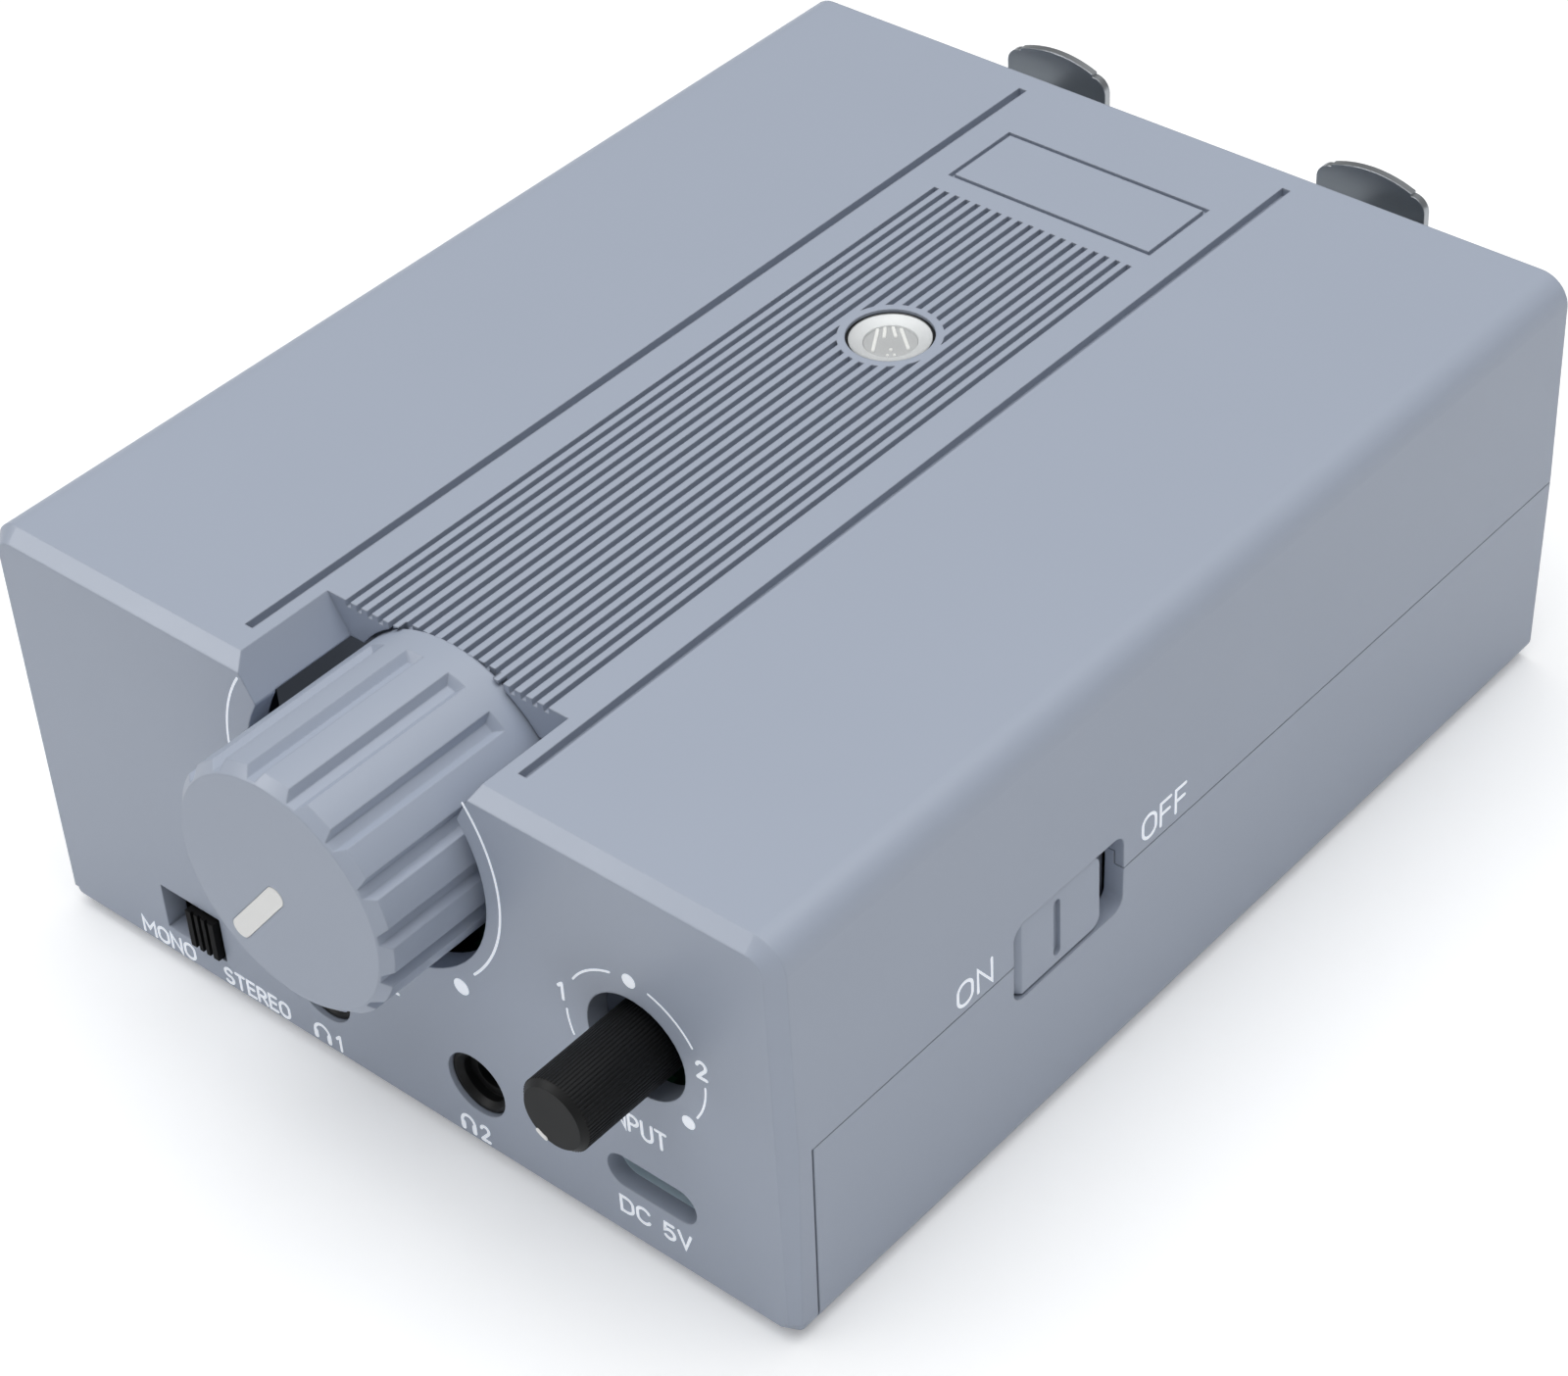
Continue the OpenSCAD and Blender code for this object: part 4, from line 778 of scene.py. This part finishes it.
class RepeatTree:
    """A geometry nodes tree with named inputs that ends in plain mesh."""

    def __init__(self, name: str, sizes: dict[str, tuple[str, Any]]) -> None:
        """Starts the tree.

        Args:
            name: The tree's name.
            sizes: Input name to its socket type and value.
        """
        self.tree = bpy.data.node_groups.new(name, "GeometryNodeTree")
        self.sizes = {**sizes, "Finish": ("NodeSocketMaterial", None)}
        for title, (kind, _) in self.sizes.items():
            self.tree.interface.new_socket(title, in_out="INPUT", socket_type=kind)
        self.tree.interface.new_socket("Geometry", in_out="OUTPUT", socket_type="NodeSocketGeometry")
        self.given = self.tree.nodes.new("NodeGroupInput").outputs

    def add(self, kind: str, inputs: dict[Any, Any] | None = None, **settings: Any) -> bpy.types.Node:
        """Adds one node to this tree."""
        return add_node(self.tree, kind, inputs, **settings)

    def to_mesh(self, parts: Sequence[bpy.types.NodeSocket], finish: Finish) -> bpy.types.Mesh:
        """Ends the tree, sets its sizes and returns what it makes.

        Args:
            parts: Geometry sockets that are joined.
            finish: The finish that the tree sets.

        Returns:
            A plain mesh without the modifier.
        """
        joined = self.add("GeometryNodeJoinGeometry")
        for part in parts:
            self.tree.links.new(part, joined.inputs[0])
        real = self.add("GeometryNodeRealizeInstances", {0: joined.outputs[0]})
        coated = self.add("GeometryNodeSetMaterial", {
            "Geometry": real.outputs[0], "Material": self.given["Finish"]})
        self.add("NodeGroupOutput", {0: coated.outputs[0]})
        carrier = bpy.data.objects.new("carrier", bpy.data.meshes.new("carrier"))
        place_in_scene(carrier)
        modifier = carrier.modifiers.new("repeat", "NODES")
        modifier.node_group = self.tree
        for item in self.tree.interface.items_tree:
            if item.in_out == "INPUT" and item.name in self.sizes:
                value = finish.material() if item.name == "Finish" else self.sizes[item.name][1]
                modifier[item.identifier] = value
        carrier.update_tag()
        bpy.context.view_layer.update()
        view = bpy.context.evaluated_depsgraph_get()
        mesh = bpy.data.meshes.new_from_object(carrier.evaluated_get(view))
        bpy.data.objects.remove(carrier)
        return mesh


@dataclass
class Row:
    """Equal small pieces set in a straight row.

    The pitch lies along x and y, the size gives a pad's sides or a bead's diameter, and the start
    is the first one's middle.
    """

    name: str
    unit: Unit
    finish: Finish
    body: str
    slot: str
    count: int
    pitch: Point
    size: Triple
    start: Triple
    bead_divisions: int = 3

    def build(self) -> bpy.types.Object:
        """Builds the row in body millimetres and places it.

        Returns:
            The row as one piece.
        """
        tree = RepeatTree(self.name + "_row", {
            "Count": ("NodeSocketInt", self.count),
            "Step": ("NodeSocketVector", (self.pitch[0], self.pitch[1], 0.0)),
            "Size": ("NodeSocketVector", self.size),
            "Radius": ("NodeSocketFloat", self.size[0] / 2),
        })
        if self.unit is Unit.PAD:
            shape = tree.add("GeometryNodeMeshCube", {"Size": tree.given["Size"]}).outputs[0]
        else:
            shape = tree.add("GeometryNodeMeshIcoSphere", {
                "Radius": tree.given["Radius"], "Subdivisions": self.bead_divisions}).outputs[0]
        line = tree.add("GeometryNodeMeshLine", {"Count": tree.given["Count"], "Offset": tree.given["Step"]})
        placed = tree.add("GeometryNodeInstanceOnPoints", {"Points": line.outputs[0], "Instance": shape})
        mesh = tree.to_mesh([placed.outputs[0]], self.finish)
        mesh.transform(BODY.plane(self.start, (1, 0, 0), (0, 1, 0)))
        return Piece(self.name, self.finish, self.body, self.slot).dress(mesh)


@dataclass
class InputKnob:
    """The slim black knob with fine grip lines and a white mark."""

    x: float = 32.6
    z: float = 27.95
    radius: float = 3.95
    front: float = -10.9
    back: float = 11.4
    chamfer: float = 0.6
    ribs: int = 64
    rib_w: float = 0.2
    rib_h: float = 0.07
    mark_turn: float = 242.0
    mark_half: float = 8.0
    mark_w: float = 0.55
    mark_sunk: float = 0.5
    mark_steps: int = 3
    sides: int = 96

    def build(self) -> list[bpy.types.Object]:
        """Builds the knob's gripped body and its mark.

        Returns:
            Both pieces.
        """
        grip_front = self.front + self.chamfer
        length = self.back - grip_front
        tree = RepeatTree("grip_lines", {
            "Core radius": ("NodeSocketFloat", self.radius - self.rib_h),
            "Nose radius": ("NodeSocketFloat", self.radius - self.chamfer),
            "Length": ("NodeSocketFloat", length),
            "Chamfer": ("NodeSocketFloat", self.chamfer),
            "Ribs": ("NodeSocketInt", self.ribs),
            "Rib size": ("NodeSocketVector", (2 * self.rib_h, self.rib_w, length)),
        })
        core = tree.add("GeometryNodeMeshCylinder", {
            "Vertices": self.sides, "Radius": tree.given["Core radius"], "Depth": tree.given["Length"]})
        nose = tree.add("GeometryNodeMeshCone", {
            "Vertices": self.sides, "Radius Top": tree.given["Nose radius"],
            "Radius Bottom": tree.given["Core radius"], "Depth": tree.given["Chamfer"]})
        lift = tree.add("ShaderNodeCombineXYZ", {"Z": length / 2})
        placed_nose = tree.add("GeometryNodeTransform", {
            "Geometry": nose.outputs["Mesh"], "Translation": lift.outputs[0]})
        ring = tree.add("GeometryNodeMeshCircle", {
            "Vertices": tree.given["Ribs"], "Radius": tree.given["Core radius"]})
        rib = tree.add("GeometryNodeMeshCube", {"Size": tree.given["Rib size"]})
        outwards = tree.add("GeometryNodeInputPosition")
        turn = tree.add("FunctionNodeAlignRotationToVector", {"Vector": outwards.outputs[0]}, axis="X")
        ribs = tree.add("GeometryNodeInstanceOnPoints", {
            "Points": ring.outputs[0], "Instance": rib.outputs[0], "Rotation": turn.outputs[0]})
        mesh = tree.to_mesh([core.outputs["Mesh"], placed_nose.outputs[0], ribs.outputs[0]], BLACK)
        mesh.transform(BODY.plane((self.x, (grip_front + self.back) / 2, self.z), (1, 0, 0), (0, 0, 1)))
        body = Piece("input_knob_grip", BLACK, "input", "black").dress(mesh, ["input_knob"])
        return [body, self.mark()]

    def mark(self) -> bpy.types.Object:
        """Lays the end of the white line at the front rim.

        Returns:
            The mark.
        """
        marks = PrintedMarks(Piece("input_knob_mark", POINTER, "input", "pointer"),
                             BODY.plane((self.x, self.front, self.z), (1, 0, 0), (0, 0, 1)),
                             sunk=self.mark_sunk)
        rim = self.radius - self.chamfer
        marks.stroke(arc((0.0, 0.0), (rim, rim), self.mark_turn - self.mark_half,
                         self.mark_turn + self.mark_half, self.mark_steps), self.mark_w)
        return marks.piece.finish_mesh()


@dataclass
class StatusLight:
    """The clear cap on top, the bright dish below it and the opal plate that spreads the light."""

    x: float = 0.7
    y: float = 75.9
    # Radius and height round each section: the dish runs from its rim down the inside and up the outside
    dish: tuple[Point, ...] = ((4.26, 48.42), (4.18, 48.36), (2.85, 48.05), (2.76, 47.6), (1.95, 43.3),
                               (2.15, 43.22), (3.0, 47.2), (4.24, 48.2))
    cap: tuple[Point, ...] = ((0.4, 48.8), (2.2, 48.79), (3.5, 48.75), (4.1, 48.66), (4.28, 48.54),
                              (4.2, 48.46), (0.4, 48.5))
    plate: tuple[Point, ...] = ((0.4, 48.0), (2.0, 47.98), (2.6, 47.93), (2.72, 47.85), (2.72, 47.6),
                                (0.4, 47.6))
    # Ends of the bright facets on the plate, seen along the way the photograph looks; they glow as painted
    # highlights
    facets: tuple[tuple[Point, Point], ...] = (
        ((-1.25, 2.1), (-1.8, -1.5)), ((-0.5, 2.3), (-0.62, 0.8)),
        ((0.32, 2.35), (0.54, 0.8)), ((1.13, 2.0), (1.75, -1.4)))
    facet_w: float = 0.34
    facet_z: float = 47.98
    facet_raised: float = 0.15
    # Three bright points nearer to the viewer: one dot and, nearer still, two beads, all glowing as painted
    # highlights
    spot: Point = (0.0, -1.5)
    bead_pitch: float = 0.7
    bead_depth: float = -2.35
    bead_size: float = 0.3
    across: Triple = (0.762, 0.647, 0.0)
    away: Triple = (-0.647, 0.762, 0.0)
    steps: int = 96

    def build(self) -> list[bpy.types.Object]:
        """Builds the cap, the dish, the plate, its facets and three bright points.

        Returns:
            The pieces, from the top down.
        """
        return [
            self.turned("light_cap", LENS, "lens", self.cap, ["status_lens"]),
            self.turned("light_dish", MIRROR_CUP, "reflector", self.dish, ["lens_reflector"], ring=True),
            self.turned("light_plate", OPAL, "light", self.plate),
            self.bright_facets(), self.points()]

    def turned(self, name: str, finish: Finish, slot: str, section: tuple[Point, ...],
               replaces: Sequence[str] = (), ring: bool = False) -> bpy.types.Object:
        """Turns a section round the light's axis.

        Args:
            name: Name of the piece.
            finish: Its finish.
            slot: Its material slot.
            section: Radius and height of each corner, in order.
            replaces: Nodes that the piece stands for.
            ring: Whether the section closes on itself round a hole.

        Returns:
            The turned piece.
        """
        piece = Piece(name, finish, "case", slot)
        rows = []
        for radius, z in section:
            circle = arc((self.x, self.y), (radius, radius), 0, 360 - 360 / self.steps, self.steps - 1)
            rows.append([piece.mesh.verts.new(BODY.at(px, py, z)) for px, py in circle])
        for a, b in zip(rows, rows[1:] + rows[:1] if ring else rows[1:]):
            for i in range(self.steps):
                piece.mesh.faces.new((a[i - 1], a[i], b[i], b[i - 1]))
        if not ring:
            piece.mesh.faces.new(rows[0])
            piece.mesh.faces.new(rows[-1])
        return piece.finish_mesh(replaces)

    def bright_facets(self) -> bpy.types.Object:
        """Raises four facets and one dot that glow as painted highlights.

        Returns:
            All of them as one piece.
        """
        marks = PrintedMarks(Piece("light_facets", LIGHT, "case", "light"),
                             BODY.plane((self.x, self.y, self.facet_z), self.across, self.away),
                             raised=self.facet_raised)
        for far, near in self.facets:
            marks.stroke([far, near], self.facet_w)
        marks.dot(self.spot, self.facet_w)
        return marks.piece.finish_mesh()

    def points(self) -> bpy.types.Object:
        """Sets two beads side by side at the plate's near side, glowing as painted highlights.

        Returns:
            Both as one piece.
        """
        across, away, pitch = Vector(self.across[:2]), Vector(self.away[:2]), self.bead_pitch
        start = Vector((self.x, self.y)) - across * pitch / 2 + away * self.bead_depth
        return Row("light_points", Unit.BEAD, LIGHT, "case", "light", 2,
                   (self.across[0] * pitch, self.across[1] * pitch),
                   (self.bead_size, self.bead_size, self.bead_size),
                   (start.x, start.y, self.facet_z)).build()


@dataclass
class PowerInlet:
    """Contacts on the tongue of the power inlet and the lining of its slot."""

    x: float = 32.7
    z: float = 9.8
    slot_w: float = 10.95
    slot_h: float = 4.1
    # How far the lining's outer and inner faces lie inside the slot's wall, and where it begins and ends
    lining_gap: float = 0.01
    lining: float = 0.06
    lining_front: float = 1.85
    lining_back: float = 2.65
    end_steps: int = 16
    pads: int = 12
    pad_pitch: float = 0.5
    pad_size: Triple = (0.25, 3.6, 0.06)
    pad_y: float = 6.0
    # How far the pads' middle lies above the tongue's
    pad_up: float = 0.37

    def outline(self, inset: float) -> Stroke:
        """Draws the slot's outline smaller all round.

        Args:
            inset: How far it lies inside the slot's wall.

        Returns:
            The points, once round.
        """
        half, radius = (self.slot_w - self.slot_h) / 2, self.slot_h / 2 - inset
        return (arc((self.x + half, self.z), (radius, radius), -90, 90, self.end_steps)
                + arc((self.x - half, self.z), (radius, radius), 90, 270, self.end_steps))

    def slot_lining(self) -> bpy.types.Object:
        """Lays a thin sleeve on the slot's wall, in front of the inlet's shell.

        Returns:
            The sleeve.
        """
        piece = Piece("inlet_lining", GASKET, "case", "case")
        corners = ((self.lining_gap, self.lining_front), (self.lining, self.lining_front),
                   (self.lining, self.lining_back), (self.lining_gap, self.lining_back))
        rings = [[piece.mesh.verts.new(BODY.at(px, y, pz)) for px, pz in self.outline(inset)]
                 for inset, y in corners]
        for a, b in zip(rings, rings[1:] + rings[:1]):
            for i in range(len(a)):
                piece.mesh.faces.new((a[i - 1], a[i], b[i], b[i - 1]))
        return piece.finish_mesh()

    def build(self) -> list[bpy.types.Object]:
        """Builds the lining and the row of contacts on the upper face of the tongue.

        Returns:
            Both pieces.
        """
        first = self.x - self.pad_pitch * (self.pads - 1) / 2
        contacts = Row("inlet_contacts", Unit.PAD, CONTACT, "case", "contacts", self.pads,
                       (self.pad_pitch, 0.0), self.pad_size,
                       (first, self.pad_y, self.z + self.pad_up)).build()
        return [contacts, self.slot_lining()]


# ---------------- studio


@dataclass
class Studio:
    """Camera, floor and light round the amplifier."""

    # The photograph's camera, worked out from the body's straight edges
    eye_mm: Triple = (204.47, -163.82, 264.87)
    right: Triple = (0.7613, 0.6464, -0.0502)
    up: Triple = (-0.3847, 0.5127, 0.7675)
    lens_mm: float = 86.8
    sensor_mm: float = 36.0
    # The nearest and the farthest distance that it sees
    sight_m: Span = (0.01, 20.0)
    # The surround's share in the light, where full white is 1
    world_level: float = 0.28
    sun_level: float = 2.22
    sun_turn: Triple = (2.0, -3.0, 0.0)
    sun_angle: float = 70.0
    # A soft box in front on the left, whose sheen lies on the upper front chamfer
    box_way: Triple = (-0.56, -0.65, 0.5)
    box_away_m: float = 0.7
    box_size_m: float = 0.24
    box_power: float = 1.3
    floor_colour: str = "#f6f7f8"
    floor_half_m: float = 3.0
    floor_cloud_m: float = 0.25
    floor_roughness: Span = (0.85, 0.95)
    # What the camera alone adds to the floor, so that it shows white beyond the shadow
    floor_lift: float = 0.21

    def build(self) -> None:
        """Sets up everything that isn't part of the object."""
        self.camera()
        self.floor()
        self.overhead()
        self.soft_box()
        self.surround()
        view = bpy.context.scene.view_settings
        view.view_transform = "Standard"

    def camera(self) -> None:
        """Places the camera where the photograph was taken from."""
        data = bpy.data.cameras.new("camera")
        data.lens = self.lens_mm
        data.sensor_width = self.sensor_mm
        data.sensor_fit = "HORIZONTAL"
        data.clip_start, data.clip_end = self.sight_m
        item = bpy.data.objects.new("camera", data)
        right, up = Vector(self.right).normalized(), Vector(self.up)
        up = (up - right * right.dot(up)).normalized()
        turn = Matrix((right, up, right.cross(up))).transposed().to_4x4()
        item.matrix_world = Matrix.Translation(BODY.at(*self.eye_mm)) @ turn
        place_in_scene(item)
        bpy.context.scene.camera = item

    def floor(self) -> None:
        """A wide pale floor that keeps the shadow and shows white beyond it."""
        mesh = bmesh.new()
        bmesh.ops.create_grid(mesh, x_segments=1, y_segments=1, size=self.floor_half_m)
        data = bpy.data.meshes.new("floor")
        mesh.to_mesh(data)
        mesh.free()
        item = bpy.data.objects.new("floor", data)
        place_in_scene(item)
        paper = bpy.data.materials.new("Pale_floor")
        tree = fresh_tree(paper)
        place = add_node(tree, "ShaderNodeTexCoord").outputs["Object"]
        cloud = add_node(tree, "ShaderNodeTexNoise", {"Vector": place, "Scale": 1 / self.floor_cloud_m})
        rough = add_node(tree, "ShaderNodeMapRange", {
            "Value": cloud.outputs["Fac"],
            "To Min": self.floor_roughness[0], "To Max": self.floor_roughness[1]})
        seen = add_node(tree, "ShaderNodeLightPath").outputs["Is Camera Ray"]
        lift = add_node(tree, "ShaderNodeMath", {0: seen, 1: self.floor_lift}, operation="MULTIPLY")
        shader = add_node(tree, "ShaderNodeBsdfPrincipled", {
            "Base Color": linear(self.floor_colour), "Roughness": rough.outputs["Result"],
            "Emission Color": WHITE, "Emission Strength": lift.outputs[0]})
        add_node(tree, "ShaderNodeOutputMaterial", {"Surface": shader.outputs[0]})
        data.materials.append(paper)

    def overhead(self) -> None:
        """Hangs a wide soft light above the amplifier."""
        data = bpy.data.lights.new("overhead", "SUN")
        data.energy = self.sun_level
        data.angle = math.radians(self.sun_angle)
        item = bpy.data.objects.new("overhead", data)
        item.rotation_euler = [math.radians(a) for a in self.sun_turn]
        place_in_scene(item)

    def soft_box(self) -> None:
        """Sets a soft box in front on the left that is seen in sheen alone."""
        box = bpy.data.lights.new("soft_box", "AREA")
        box.energy = self.box_power
        box.size = self.box_size_m
        holder = bpy.data.objects.new("soft_box", box)
        way = Vector(self.box_way).normalized()
        holder.location = way * self.box_away_m
        holder.rotation_euler = way.to_track_quat("Z", "Y").to_euler()
        holder.visible_diffuse = False
        place_in_scene(holder)

    def surround(self) -> None:
        """Sets an even pale surround, white where the camera looks straight or through glass."""
        world = bpy.data.worlds.new("surround")
        bpy.context.scene.world = world
        tree = fresh_tree(world)
        path = add_node(tree, "ShaderNodeLightPath")
        seen = add_node(tree, "ShaderNodeMath", {
            0: path.outputs["Is Camera Ray"], 1: path.outputs["Is Transmission Ray"]}, operation="MAXIMUM")
        strength = add_node(tree, "ShaderNodeMapRange", {
            "Value": seen.outputs[0], "To Min": self.world_level, "To Max": 1.0})
        back = add_node(tree, "ShaderNodeBackground", {
            "Color": WHITE, "Strength": strength.outputs["Result"]})
        add_node(tree, "ShaderNodeOutputWorld", {"Surface": back.outputs[0]})


def dress_solids() -> None:
    """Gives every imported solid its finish."""
    for finish, names in NODE_FINISHES.items():
        for name in names:
            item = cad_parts[name]
            item.data.materials.clear()
            item.data.materials.append(finish.material())
    bare = set(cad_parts) - {n for names in NODE_FINISHES.values() for n in names}
    if bare:
        log.warning("solids without a finish: %s", sorted(bare))


def main() -> None:
    """Builds the studio, dresses the solids and adds the finer pieces."""
    logging.basicConfig(level=logging.INFO, format="%(name)s: %(message)s")
    Studio().build()
    dress_solids()
    FrontPrint().build()
    SidePrint().build()
    InputKnob().build()
    StatusLight().build()
    PowerInlet().build()


if __name__ == "__main__":
    main()
